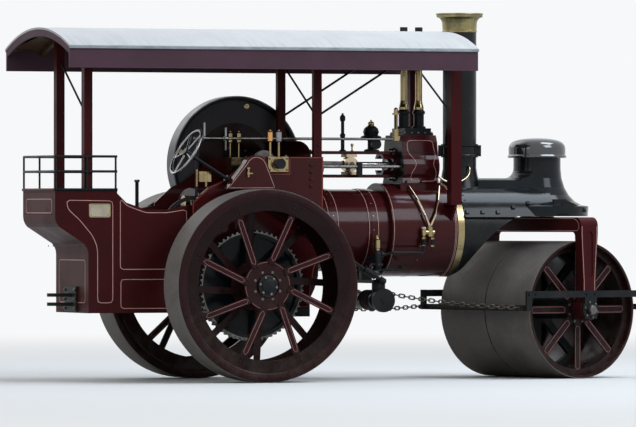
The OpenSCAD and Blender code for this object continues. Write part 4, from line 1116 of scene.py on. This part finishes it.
@dataclass
class Boiler:
    """Lagging bands, lining and screws of the boiler, firebox and smokebox.

    Args:
        axis_z: Height of the boiler's axis.
        rear_r: Radius of its rear part.
        front_r: Radius of its front part.
        smoke_r: Radius of the smokebox.
    """

    axis_z: float = 1320.0
    rear_r: float = 360.0
    front_r: float = 415.0
    smoke_r: float = 400.0

    def hoop(self, x: float, r: float, width: float, lift: float) -> Shape:
        """A thin band round the boiler: a low section of radius and length turned about it."""
        w = width / 2
        section = [(r - 1, x - w), (r + lift, x - w + 0.4), (r + lift, x + w - 0.4), (r - 1, x + w)]
        return revolve(section, (0, 0, self.axis_z), AHEAD, 160, True)

    def round_boiler(self, shape: Shape, x: float, r: float, angles: np.ndarray) -> Shape:
        """Copies of a shape that stands up, on the boiler at angles from its top."""
        return Shape.join([shape.moved((x, 0, r)).turned(AHEAD, float(a)).moved((0, 0, self.axis_z))
                           for a in angles])

    def throat(self) -> list[Shape]:
        """Rivets along the smokebox's hollow front, which is round about the front roll's axle."""
        heads = []
        ring_r, hollow_r = 374, 900
        for a in np.radians(np.arange(84, 277, 8)):
            y, z = ring_r * math.sin(a), self.axis_z + ring_r * math.cos(a)
            reach = math.sqrt(hollow_r ** 2 - (z - FRONT_R) ** 2)
            heads.append(dome(8, 5.5, (reach, 0, FRONT_R - z)).moved((PIVOT[0] - reach, y, z)))
        return heads

    def build(self) -> None:
        """Dresses the boiler and adds its bands, lines and fastenings."""
        dress("boiler", MAROON)
        dress("boiler_band", BRASS)
        dress("firebox", MAROON_DARK, (Block((-330, -500, 500), (800, 500, 700)), BLACK))
        dress("smokebox", SOOTED)
        lagged, bands = self.rear_r + 4, (890, 1270)
        lines = [(x + off, lagged) for x in bands for off in (-43, 43)]
        lines += [(x, self.front_r) for x in (1444, 2044)]
        piece("boiler_lining", (LINING, *[self.hoop(x, r, 5, PAINT_LIFT) for x, r in lines]),
              (LINING_CREAM, self.hoop(2032, self.front_r, 3, PAINT_LIFT)))
        piece("boiler_lagging_bands", (MAROON, *[self.hoop(x, lagged, 40, 3) for x in bands],
                                       self.hoop(1700, self.front_r, 30, 1.6)))
        piece("boiler_screws",
              (BRASS, *[self.round_boiler(dome(6, 3.5, UP), x, r, np.arange(-150, 151, 20))
                        for x, r in ((890, 366), (1270, 366), (1700, 416.4), (2087, 419))]))
        head = dome(9, 6, UP)
        low = np.concatenate([np.arange(-180, -81, 7.2), np.arange(82, 180, 7.2)])
        piece("smokebox_rivets", (SOOTED, self.round_boiler(head, 2142, self.smoke_r, low)),
              (CAST_BLACK, self.round_boiler(head, 2150, 428, np.arange(-60, 61, 8))),
              (SOOTED, *self.throat()))
        stays = [(-330, y, z) for y in np.arange(-300, 301, 100) for z in np.arange(1010, 1640, 90)
                 if math.hypot(y, z - 1270) > 195 and math.hypot(y - 60, z - 1560) > 90]
        piece("backhead_stays", (BLACK, dome(11, 7, ASTERN).copies(stays)))


@dataclass
class Headstock:
    """The headstock's bolts and dome cover, the chimney's fastenings and the pipe beside it.

    Args:
        saddle_r: Radius of the headstock's saddle about the boiler's axis.
        axis_z: Height of that axis.
        chimney_x: Where the chimney stands.
    """

    saddle_r: float = 428.0
    axis_z: float = 1320.0
    chimney_x: float = 2245.0

    def build(self) -> None:
        """Dresses the headstock and chimney and adds their parts."""
        dress("headstock", CAST_BLACK)
        dress("chimney", SOOTED)
        dress("chimney_cap", COPPER)
        bolts = []
        for x, z in ((2148, 1476), (2296, 1476), (2444, 1476), (2600, 1518), (2751, 1553)):
            y = math.sqrt(self.saddle_r ** 2 - (z - self.axis_z) ** 2)
            out: Vec = (0, -y, z - self.axis_z)
            square = prism(rounded(34, 34, 3, 2), ORIGIN, out, -4, 17, 3, AHEAD)
            bolts.append(square.moved((x, -y, z)).mirrored())
        piece("headstock_bolts", (CAST_BLACK, *bolts))
        cover = [(205, 1962), (256, 1962), (264, 1968), (264, 1980), (258, 1987), (254, 1992),
                 (255.5, 2010), (255.5, 2046), (252, 2066), (242, 2086), (222, 2105), (190, 2120),
                 (145, 2131), (90, 2138), (40, 2140.5), (0, 2141)]
        # The dome cover's lighter, bluer black is a painted highlight; its extra gloss is real.
        piece("headstock_dome_cover", (DOME_LIT_BLACK, revolve(cover, PIVOT, UP, 96)))
        bends = [(1940, -205, 1800), (2020, -240, 1742), (2130, -242, 1738), (2236, -222, 1790),
                 (2268, -190, 1872), (2262, -146, 1890)]
        piece("blower_pipe", (PIPE, sweep(bent(bends, 46), disc(9, 12))))
        collar = []
        for a in (-22, 158):
            radial = np.array([math.cos(math.radians(a)), math.sin(math.radians(a)), 0])
            cross = np.array([-radial[1], radial[0], 0])
            for z in (1996, 2054):
                for d in (-1, 1):
                    place = np.array([self.chimney_x, 0, z]) + 176 * radial + 16 * d * cross
                    collar.append(nut(11, 9, tuple(d * cross), 4).moved(tuple(place)))
        piece("chimney_collar_bolts", (CAST_BLACK, *collar))
        lip = [(203, -6), (209, -3), (211, 3), (209, 9), (203, 10), (196, 8)]
        piece("chimney_lip", (COPPER, revolve(lip, (self.chimney_x, 0, 3240), UP, 96, True)))


@dataclass
class Canopy:
    """Roof, gutters, valance and posts.

    Args:
        edge_y: Half the roof's width.
        back: X of the roof's back edge.
        front: X of its front edge.
        eaves: Height of the eaves.
        rise: Height of the arch over them.
    """

    edge_y: float = 830.0
    back: float = -1755.0
    front: float = 2075.0
    eaves: float = 2915.0
    rise: float = 170.0

    def ceiling(self) -> Shape:
        """The boards under the roof: a thin arched sheet."""
        radius = (self.edge_y ** 2 + self.rise ** 2) / (2 * self.rise)
        y = np.linspace(-790, 790, 49)
        z = self.eaves + self.rise - radius + np.sqrt((radius - 18) ** 2 - y ** 2)
        section = np.vstack([np.stack([y, z - 9], 1), np.stack([y[::-1], z[::-1] - 1], 1)])
        ends = np.stack([in_plane_x(section, x) for x in (self.back + 30, self.front - 30)])
        return lattice(capped(ends), False, True)

    def along(self, y: float, z: float, short: float, count: int = 2) -> np.ndarray:
        """Places along the right eaves, from back to front less a length at each end."""
        return row((self.back + short, y, z), (self.front - short, y, z), count)

    def build(self) -> None:
        """Dresses the canopy and adds its gutters, beads and fastenings."""
        dress("canopy_roof", ROOF)
        dress("canopy_boards", VALANCE)
        dress("canopy_hoops", TIMBER)
        dress("canopy_stays", BLACK)
        for node in ("posts_rear", "posts_middle", "posts_front"):
            dress(node, MAROON_REAR)
        piece("canopy_ceiling", (BOARDS, self.ceiling()))
        lip = [[-10, -10], [4, -10], [6, -8], [6, 12], [3, 14], [-10, 14]]
        gutter = sweep(self.along(-self.edge_y + 2, 2897, 0), lip)
        piece("canopy_gutters", (GUTTER, gutter.mirrored()))
        beads = [sweep(self.along(-self.edge_y + 5, z, 8), disc(5.0, 8)).mirrored()
                 for z in (2724, 2882)]
        piece("canopy_beads", (VALANCE, *beads))
        feet = nut(11, 9, UP, 5).copies(grid((1956, 2032), (-506, -434), (1560,)))
        side = nut(10, 8, RIGHT).copies(grid((698,), (-456.5,), (2010, 2060)))
        piece("post_bolts", (BLACK, feet.mirrored(), side.mirrored()))
        screws = dome(5, 3, RIGHT, 6).copies(self.along(-834, 2901, 60, 32))
        piece("roof_edge_screws", (GUTTER, screws.mirrored()))


@dataclass
class Fork:
    """The fork, its edge lining, the axle's nuts and the scraper frame.

    Args:
        leg_out: Half width over the fork's legs.
        frame_y: Half width over the scraper frame's sides.
    """

    leg_out: float = 720.0
    frame_y: float = 740.3

    def build(self) -> None:
        """Dresses the fork and frame and adds their lines, nuts and the toothed scraper."""
        dress("fork", MAROON_REAR, (Drum(PIVOT, UP, 0, 160, 1438, 2000), STEEL))
        dress("front_axle", OILED)
        dress("scraper_frame", BLACK)
        lines = []
        for x0, x1 in ((-60, -86), (60, 86)):
            edge = np.array([(x0, 700), (x0 * 1.02, 870), (x1, 1276), (x1, 1352)], float)
            path = in_plane_y(stepped(edge, 20, False), -self.leg_out)
            lines.append(painted(path, 5.0, RIGHT).mirrored())
        bridge = stepped(fillet([(-640, 1420), (640, 1420), (690, 1380), (690, 1312), (-690, 1312),
                                 (-690, 1380)], 24), 40)
        lines += [painted(in_plane_x(bridge, x), 5.0, face, True)
                  for x, face in ((98, AHEAD), (-98, ASTERN))]
        piece("fork_lining", (LINING, *[steered(line) for line in lines]), body="steered_fork")
        looks = []
        for s in HANDS:
            out: Vec = (0, s, 0)
            ring = round_places((0, s * self.frame_y, FRONT_R), ALONG_Y, 70, 6, 15)
            bars = grid((-715, -640, -50, 50, 640, 715), (s * self.frame_y,), (750,))
            looks += [(OILED, steered(nut(42, 22, out).moved((0, s * 760, FRONT_R))),
                       steered(nut(12, 10, out, 4).copies(ring))),
                      (BLACK, steered(nut(11, 9, out, 4).copies(bars)))]
        piece("front_axle_nuts", *looks, body="steered_fork")
        outline = [[-17, -20], [17, -20], [15, 4], [0, 26], [-15, 4]]
        tooth = prism(outline, ORIGIN, ASTERN, -1, 5, 1.0, ALONG_Y)
        comb = tooth.copies(row((-745, -580, 636), (-745, 580, 636), 34))
        piece("scraper_teeth", (SCRAPER, steered(comb)), body="steered_fork")


@dataclass
class Cylinder:
    """The cylinder block's lining, seam and cover fastenings.

    Args:
        x0: X of the block's back face.
        x1: X of its front face.
        axis_z: Height of the cylinder's axis.
        half: The block's greatest half width.
    """

    x0: float = 1600.0
    x1: float = 1945.0
    axis_z: float = 1900.0
    half: float = 255.0

    def side(self, z: np.ndarray) -> np.ndarray:
        """Half width of the block's side at a height, along the same corners as the casting."""
        bulge = [(self.axis_z - 20 + 130 * math.sin(a), self.half - 110 + 110 * math.cos(a))
                 for a in map(math.radians, range(-50, 51, 20))]
        corners = np.array([(1735, self.half - 20), *bulge, (2100, self.half - 60),
                            (2160, self.half - 90)])
        return np.interp(z, corners[:, 0], corners[:, 1])

    def on_side(self, flat: np.ndarray) -> tuple[np.ndarray, np.ndarray]:
        """Points (X, Z) laid on the right side, with the side's outward direction at each."""
        y = self.side(flat[:, 1])
        slope = (self.side(flat[:, 1] + 4) - self.side(flat[:, 1] - 4)) / 8
        return (np.stack([flat[:, 0], -y, flat[:, 1]], 1),
                np.stack([np.zeros(len(y)), -np.ones(len(y)), -slope], 1))

    def build(self) -> None:
        """Dresses the block and adds its lines, seam and nuts."""
        rear = (1500, 0, self.axis_z)
        dress("cylinder_block", MAROON, (Block((1590, -300, 1700), (1603, 300, 2200)), BLACK),
              (Block((1942, -300, 1700), (1950, 300, 2200)), BLACK),
              (Drum(rear, AHEAD, 0, 125, -9000, 100), STEEL),
              (Drum(rear, AHEAD, 0, 156, 459, 900), STEEL))
        left = [(1659, 2112), (1652, 2065), (1658, 2009), (1695, 1965), (1722, 1920), (1716, 1876),
                (1688, 1841), (1676, 1796), (1686, 1752)]
        right = [(1915, 1752), (1920, 1806), (1905, 1858), (1884, 1896), (1892, 1929), (1918, 1965),
                 (1915, 2009), (1903, 2065), (1900, 2112)]
        path, face = self.on_side(stepped(fillet(left + right, 40), 9))
        piece("cylinder_lining", (LINING, painted(path, 4.5, face, True, 1.4).mirrored()))
        path, face = self.on_side(np.array([[self.x0 - 1, 2009], [self.x1 + 1, 2009]]))
        seam = sweep(path, [[-3, -1], [-3, 2], [3, 2], [3, -1]], face)
        piece("cylinder_seam", (BLACK, seam.mirrored()))
        covers = [nut(14, 10, (a, 0, 0), 6).copies(round_places((x, 0, self.axis_z), AHEAD, 133, 8))
                  for x, a in ((self.x0 - 26, -1), (self.x1 + 26, 1))]
        top = np.vstack([grid((1650, 1715, 1780, 1845, 1910), (-157, 157), (2178,)),
                         grid((1648, 1912), (-95, -32, 32, 95), (2178,))])
        foot = -(self.side(np.array([1735.0]))[0] + 1)
        feet = nut(11, 9, RIGHT, 4).copies(grid((1630, 1772, 1915), (foot,), (1748,)))
        piece("cylinder_nuts", (OILED, *covers, nut(9, 8, UP, 5).copies(top)),
              (BLACK, feet.mirrored()))


@dataclass
class Motion:
    """Valve chest, steam fittings, governor, guide, rods, crank and flywheel.

    Args:
        crank: The middle of the crankshaft.
    """

    crank: Vec = (310, 0, 1900)

    def dress_parts(self) -> None:
        """Gives the working parts their finishes."""
        dress("valve_chest", BLACK)
        dress("steam_fittings", BRASS, (Block((1640, -60, 3050), (1920, 60, 3200)), BLACK),
              (Drum((1568, -150, 0), UP, 0, 19, 2212, 2340), OIL_GLASS))
        dress("governor", BLACK, (Block((1300, -60, 2238), (1480, 60, 2400)), BRASS))
        dress("motion_guide", MAROON, (Block((790, -60, 1985), (1600, 60, 1992)), OILED),
              (Block((790, -60, 1808), (1600, 60, 1815)), OILED),
              (Block((1170, -230, 1700), (1230, -160, 2000)), BLACK))
        dress("motion_rods", OILED, (Block((1120, -70, 1800), (1232, 70, 2000)), PIPE),
              (Block((1230, -30, 1870), (1600, 30, 1930)), STEEL),
              (Block((-400, -170, 2137), (100, -130, 2270)), STEEL))
        dress("crank_bearings", BRASS, (Block((200, -510, 2080), (268, -440, 2230)), OIL_CUP),
              (Block((268, -510, 2080), (350, -440, 2230)), STEEL))
        dress("crank_guard", MAROON)
        dress("crankshaft", OILED, (Block((230, -112, 1800), (520, 112, 2000)), STEEL),
              (Drum(self.crank, ALONG_Y, 0, 60, -700, -480), BLACK))
        dress("feed_pump", BLACK, (Block((1200, -480, 1139), (1340, -390, 1300)), BRASS))
        dress("boiler_pipes", BLACK, (Block((1680, -490, 1262), (1850, -290, 1350)), BRASS),
              (Block((1600, -490, 1350), (2000, -200, 1800)), PIPE))
        # The face ring's dark grey is painted light against the canopy's shadow.
        bands = [((372, 574), RIM_LIFTED_BLACK), ((0, 124), BLACK), ((572, 700, 499, 656), BLACK),
                 ((607,), BELT_FACE), ((600, 700, 0, 502.5), OILED),
                 ((600, 700, 652.5, 700), OILED)]
        dress("flywheel", MAROON_DARK,
              *[(Drum(self.crank, ALONG_Y, *limits), finish) for limits, finish in bands])

    def flywheel(self) -> None:
        """The flywheel's plugs and hub nuts, and the eccentric sheaves beside it."""
        x, _, z = self.crank
        looks = []
        profile = [(27, -1), (27, 5), (22, 9), (10, 9), (8, 6), (0, 6)]
        for y, s in ((565.5, -1), (589.5, 1)):
            plug = revolve(profile, ORIGIN, (0, s, 0), 24)
            hub = round_places((x, y, z), ALONG_Y, 158, 6, 10)
            looks += [(BRASS, plug.copies(round_places((x, y, z), ALONG_Y, 532, 4, -77.5))),
                      (OILED, nut(13, 12, (0, s, 0), 5).copies(hub))]
        piece("flywheel_plugs", *looks, body="crank")
        rim = [(40, 0), (96, 0), (99, 3), (99, 9), (94, 12), (94, 24), (99, 27), (99, 33), (96, 36),
               (40, 36)]
        sheaves = [revolve(rim, (x + 28 * math.cos(a), y, z + 28 * math.sin(a)), ALONG_Y, 48, True)
                   for y, a in ((-196, math.radians(120)), (-132, math.radians(215)))]
        piece("eccentric_sheaves", (OILED, *sheaves), body="crank")

    def bearings(self) -> None:
        """Nuts and collars of the crank's bearings."""
        top = grid((232, 388), (-482, -466, 466, 482), (1962,))
        looks = [(OILED, nut(9, 10, UP, 6).copies(top))]
        collar = [(46, 0), (64, 0), (64, 5), (60, 8), (46, 8)]
        x, _, z = self.crank
        for s in HANDS:
            y, out = s * 492, (0, s, 0)
            looks += [(OILED, nut(9, 8, out, 4).copies(grid((228, 392), (y,), (1846, 1944)))),
                      (BRASS, revolve(collar, (x, y, z), out, 40, True))]
        piece("bearing_cap_nuts", *looks)

    def build(self) -> None:
        """Dresses the working parts and adds the nuts, cups and seams that belong to them."""
        self.dress_parts()
        self.flywheel()
        self.bearings()
        ends = grid((830, 1440), (-46, 46), (2018,))
        piece("guide_bar_nuts", (OILED, nut(10, 9, UP, 5).copies(ends)))
        tall = [(0, 0), (30, 0), (30, 10), (17, 14), (17, 120), (24, 128), (24, 150), (15, 158),
                (15, 262), (22, 270), (26, 290), (22, 312), (10, 322), (10, 336), (0, 338)]
        short = [(0, 0), (12, 0), (12, 8), (7, 12), (7, 40), (13, 46), (13, 66), (0, 70)]
        piece("guide_lubricator", (BLACK, revolve(tall, (1118, 0, 2017), UP, 24)),
              (BRASS, revolve(short, (1208, 0, 2017), UP, 16)))
        flange = revolve([(37, 0), (50, 0), (50, 14), (37, 14)], (1270, -435, 1000), UP, 32, True)
        ring = round_places((1270, -435, 1014), UP, 43.5, 6)
        piece("feed_pump_nuts", (BLACK, flange), (OILED, nut(7, 7, UP, 4).copies(ring)),
              (BRASS, nut(13, 20, UP).moved((1270, -435, 1252))))
        sleeve = [(12, 0), (20, 0), (20, 16), (12, 16)]
        unions = [revolve(sleeve, (x, -455, z), UP, 6, True)
                  for x, z in ((1706, 1180), (1706, 1240), (1790, 1170), (1790, 1236))]
        piece("pipe_unions", (BRASS, *unions),
              (PALE_NUT, nut(20, 16, UP).moved((1706, -455, 1330))),
              (BRASS, nut(22, 14, UP).moved((1766, -455, 1345))))


@dataclass
class GearCover:
    """The case over the gears on the right side, with its lining, edge studs and oil tap.

    Args:
        face: Y of the case's outer face.
    """

    face: float = -632.0

    def outline(self) -> np.ndarray:
        """The case's outline: straight sides that meet a round top."""
        arc = np.radians(np.linspace(158, 22, 17))
        top = np.stack([50 + 108 * np.cos(arc), 1865 + 108 * np.sin(arc)], 1)
        return np.vstack([[(-225, 1680)], top, [(235, 1680)]])

    def build(self) -> None:
        """Dresses the case and adds its line, studs and tap."""
        dress("gear_cover", MAROON)
        path = stepped(inset(self.outline(), 17), 20)
        piece("gear_cover_lining", (LINING, painted(in_plane_y(path, self.face), 5.0, RIGHT, True)))
        x, z = -31.0, 1782.0
        body = [(0, 0), (9, 0), (9, 16), (14, 20), (14, 44), (9, 48), (9, 66), (15, 70), (15, 84),
                (0, 88)]
        stem = [(0, 0), (8, 0), (8, 20), (0, 20)]
        place = (x + 14, self.face - 30, z + 32)
        handle = prism(rounded(44, 10, 4, 2), place, RIGHT, 0, 6, 1.5, AHEAD)
        piece("gear_cover_tap", (BRASS, revolve(body, (x, self.face - 14, z), UP, 16),
                                 revolve(stem, (x, self.face + 1, z + 32), RIGHT, 12), handle))
        places = in_plane_y(stepped(inset(self.outline(), 7), 66), self.face)
        piece("gear_cover_studs", (MAROON, dome(5, 4, RIGHT, 6).copies(places)))


@dataclass
class Tender:
    """Tank, bunker, rails, sides, controls and drawbar.

    Args:
        side_y: Half width over the tank and bunker.
        back: X of the bunker's back.
        low_back: X of the tank's back below it.
        horn_y: Half width over the hornplates.
    """

    side_y: float = 414.0
    back: float = -1737.0
    low_back: float = -1430.0
    horn_y: float = 470.0

    def lining(self) -> None:
        """Painted lines of the bunker, tank, side sheets and hornplates."""
        bunker = fillet([(-1632, 1580), (-1620, 1505), (-1508, 1407), (-1393, 1274), (-1352, 1186),
                         (-1345, 1120), (-1345, 690), (-1205, 690), (-1205, 1574)], 30)
        sheet = fillet([(-1135, 980), (-1135, 1598), (-1078, 1534), (-900, 1472), (-700, 1472),
                        (-520, 1500), (-520, 980)], 26)
        low = fillet([(-1130, 640), (-1130, 892), (-520, 892), (-520, 640)], 26)
        lines = [painted(in_plane_y(stepped(loop, 30), -self.side_y), 6.5, RIGHT, True).mirrored()
                 for loop in (bunker, sheet, low)]
        for z0, z1, x in ((1470, 1590, self.back), (690, 1060, self.low_back)):
            rear = stepped(fillet([(-330, z0), (330, z0), (330, z1), (-330, z1)], 26), 30)
            lines.append(painted(in_plane_x(rear, x), 6.5, ASTERN, True))
        horn = np.array([(-490, 960), (-490, 1560), (-330, 1700), (-190, 1760), (60, 1962),
                         (201, 1962), (201, 1816), (419, 1816), (419, 1962), (742, 1962),
                         (742, 1150), (660, 980), (600, 640), (-220, 640), (-330, 760)], float)
        path = in_plane_y(stepped(inset(horn, 11), 24), -self.horn_y)
        piece("tender_lining", (LINING, *lines),
              (LINING_RED, painted(path, 4.5, RIGHT, True).mirrored()))

    def rivets(self) -> None:
        """Rivet rows of the hornplates, tank and bunker."""
        def rows(y: float, *runs: tuple[float, float, float, float, int]) -> np.ndarray:
            """Rows of places in the upright plane at y, each from (X, Z) to (X, Z)."""
            return np.vstack([row((x0, y, z0), (x1, y, z1), n) for x0, z0, x1, z1, n in runs])

        nuts = nut(17, 13, RIGHT, 5).copies(rows(-self.horn_y, (628, 1706, 628, 1892, 4)))
        places = np.vstack([
            rows(-self.horn_y, (628, 1180, 628, 1640, 9), (-455, 1000, -455, 1530, 9),
                 (-180, 672, 560, 672, 13), (-60, 1230, 560, 1230, 11)),
            round_places((0, -self.horn_y, REAR_R), ALONG_Y, 160, 14)])
        heads = dome(9, 6, RIGHT).copies(places)
        piece("hornplate_rivets", (MAROON, nuts.mirrored(), heads.mirrored()))
        side = rows(-self.side_y, (-1500, 1180, -1190, 1180, 8), (-1185, 640, -1185, 1640, 21),
                    (-1400, 622, -520, 622, 19), (-1150, 912, -520, 912, 14),
                    (-1712, 1470, -1712, 1640, 5), (-1700, 1650, -1190, 1650, 12))
        back = np.vstack([row((x, y0, z), (x, y1, z), n) for x, y0, y1, z, n in (
            (self.back, -380, 380, 1650, 17), (self.back, -380, 380, 1458, 17),
            (self.low_back, -380, -180, 622, 5), (self.low_back, 180, 380, 622, 5))])
        piece("tank_rivets", (MAROON, dome(6, 4, RIGHT, 6).copies(side).mirrored(),
                              dome(6, 4, ASTERN, 6).copies(back)))

    def plates(self) -> None:
        """The two blank plates with their rims and screws."""
        x, y, z = -1326.0, -self.side_y, 1491.0
        outline = rounded(191, 114, 12, 3)
        plate = prism(outline, (x, y, z), RIGHT, -0.5, 5, 1.0, AHEAD)
        border = [[-5, -1], [-5, 6], [-3, 8], [3, 8], [5, 6], [5, -1]]
        rim = sweep(in_plane_y(stepped(outline, 12) + [x, z], y), border, RIGHT, True)
        screws = dome(5, 3, RIGHT).copies(grid((x - 78, x + 78), (y - 5,), (z - 40, z + 40)))
        piece("blank_plates", (WHITE, plate.mirrored()), (BRASS, rim.mirrored(), screws.mirrored()))

    def build(self) -> None:
        """Dresses the tender and adds its lines, rivets and blank plates."""
        dress("tender_tank", MAROON_REAR, (Block((-1164, -405, 931), (-380, 405, 960)), BLACK))
        dress("bunker", MAROON_REAR, (Block((-1737, -500, 1655), (-1100, 500, 1700)), BLACK))
        dress("tender_sides", MAROON_REAR)
        dress("coal_rails", BLACK)
        dress("controls", BLACK, (Block((-420, -440, 1700), (-280, -380, 1850)), BRASS),
              (Block((-372, -200, 1430), (-329, 130, 1640)), BRASS))
        dress("drawbar", BLACK)
        dress("rear_axle", OILED, (Block((-200, -700, 700), (200, 700, 980)), BLACK))
        dress("hornplate_right", MAROON)
        dress("hornplate_left", MAROON)
        self.lining()
        self.rivets()
        self.plates()
        looks = []
        cap = [(88, 0), (88, 5), (72, 9), (60, 9), (58, 15), (50, 18), (0, 18)]
        for s in HANDS:
            ring = round_places((0, s * 1043, REAR_R), ALONG_Y, 76, 6, 10)
            looks += [(BLACK, revolve(cap, (0, s * 1035, REAR_R), (0, s, 0), 48)),
                      (OILED, nut(12, 8, (0, s, 0)).copies(ring))]
        piece("rear_axle_caps", *looks)
        feet = grid((-1450,), (-125, 125), (640, 720, 800))
        piece("drawbar_nuts", (OILED, nut(14, 12, ASTERN, 6).copies(feet)))


@dataclass
class SteeringChain:
    """One chain from the barrel to the fork's frame: links of round bar, each square to the last.

    Args:
        name: The piece's name.
        start: Where it leaves the barrel.
        end: The ear that it pulls on.
        sag: How far its middle hangs below the straight line.
        pitch: From one link's middle to the next.
        bar: Radius of the bar.
    """

    name: str
    start: Vec
    end: Vec
    sag: float = 30.0
    pitch: float = 44.0
    bar: float = 6.0

    def link(self) -> Shape:
        """One link along X: a round bar swept round two straights and two half circles."""
        t = np.linspace(0, 2 * np.pi, 14, endpoint=False)
        long = np.where(np.cos(t) > 0, 1, -1) * (self.pitch / 2 - 9)
        path = np.stack([long + 15 * np.cos(t), 15 * np.sin(t), np.zeros(14)], 1)
        return sweep(path, disc(self.bar, 6), UP, True)

    def build(self) -> None:
        """Lays the links along a shallow curve, 4 sag s (1 - s) below the straight line."""
        a, b = np.array(self.start, float), np.array(self.end, float)
        count = int(np.linalg.norm(b - a) / self.pitch)
        s = (np.arange(count) + 0.5) / count
        places = a + np.outer(s, b - a) - np.outer(4 * self.sag * s * (1 - s), UP)
        ways = (b - a) - np.outer(4 * self.sag * (1 - 2 * s), UP)
        ways /= np.linalg.norm(ways, axis=1, keepdims=True)
        link = self.link()
        shapes = []
        for k, (place, way) in enumerate(zip(places, ways)):
            side = np.cross(UP, way)
            side /= np.linalg.norm(side)
            up = np.cross(way, side)
            if k % 2:
                side, up = up, -side
            shapes.append(Shape(place + link.verts @ np.stack([way, side, up]), link.quads))
        obj = piece(self.name, (CHAIN, *shapes), body="")
        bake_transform(obj)


@dataclass
class Steering:
    """Hand wheel, shaft, chain barrel and the two steering chains.

    Args:
        barrel: The middle of the chain barrel.
        shaft_deg: The steering shaft's slope downwards to the front.
        turns: How often each chain lies round the barrel.
    """

    barrel: Vec = (1300, 0, 700)
    shaft_deg: float = 31.4
    turns: float = 4.5

    def build(self) -> None:
        """Dresses the steering gear and adds the chains and the turns of chain on the barrel."""
        slope = math.radians(self.shaft_deg)
        axis = (math.cos(slope), 0, -math.sin(slope))
        dress("hand_steering", BLACK, (Drum((-555, -500, 2000), axis, 36, 300, -40, 40), STEEL))
        dress("chain_barrel", BLACK)
        dress("steering_bracket", BLACK)
        SteeringChain("steering_chain_right", (1300, -300, 783), (2436, -880, 636)).build()
        SteeringChain("steering_chain_left", (1300, 300, 617), (2046, 434, 636), sag=14).build()
        coils = []
        x, _, z = self.barrel
        t = np.linspace(0, 2 * np.pi * self.turns, 200)
        for y0, y1 in ((-300, -120), (300, 120)):
            path = np.stack([x + 83 * np.cos(t), y0 + (y1 - y0) * t / t[-1], z + 83 * np.sin(t)], 1)
            coils.append(sweep(path, disc(8.0, 6), ALONG_Y))
        piece("barrel_chain_turns", (CHAIN, *coils))


def main() -> None:
    """Builds the studio and every part of the machine in order."""
    logging.basicConfig(level=logging.INFO, format="%(message)s")
    for grain, draw in SKINS.items():
        draw(Skin(grain.value))
    for make in (settled_dust, drum_zone, block_zone):
        make()
    Studio().build()
    for side in HANDS:
        RearRoll(side).build()
        FrontRoll(side).build()
    for part in (Boiler(), Headstock(), Canopy(), Fork(), Cylinder(), Motion(), GearCover(),
                 Tender(), Steering()):
        part.build()


if __name__ == "__main__":
    main()
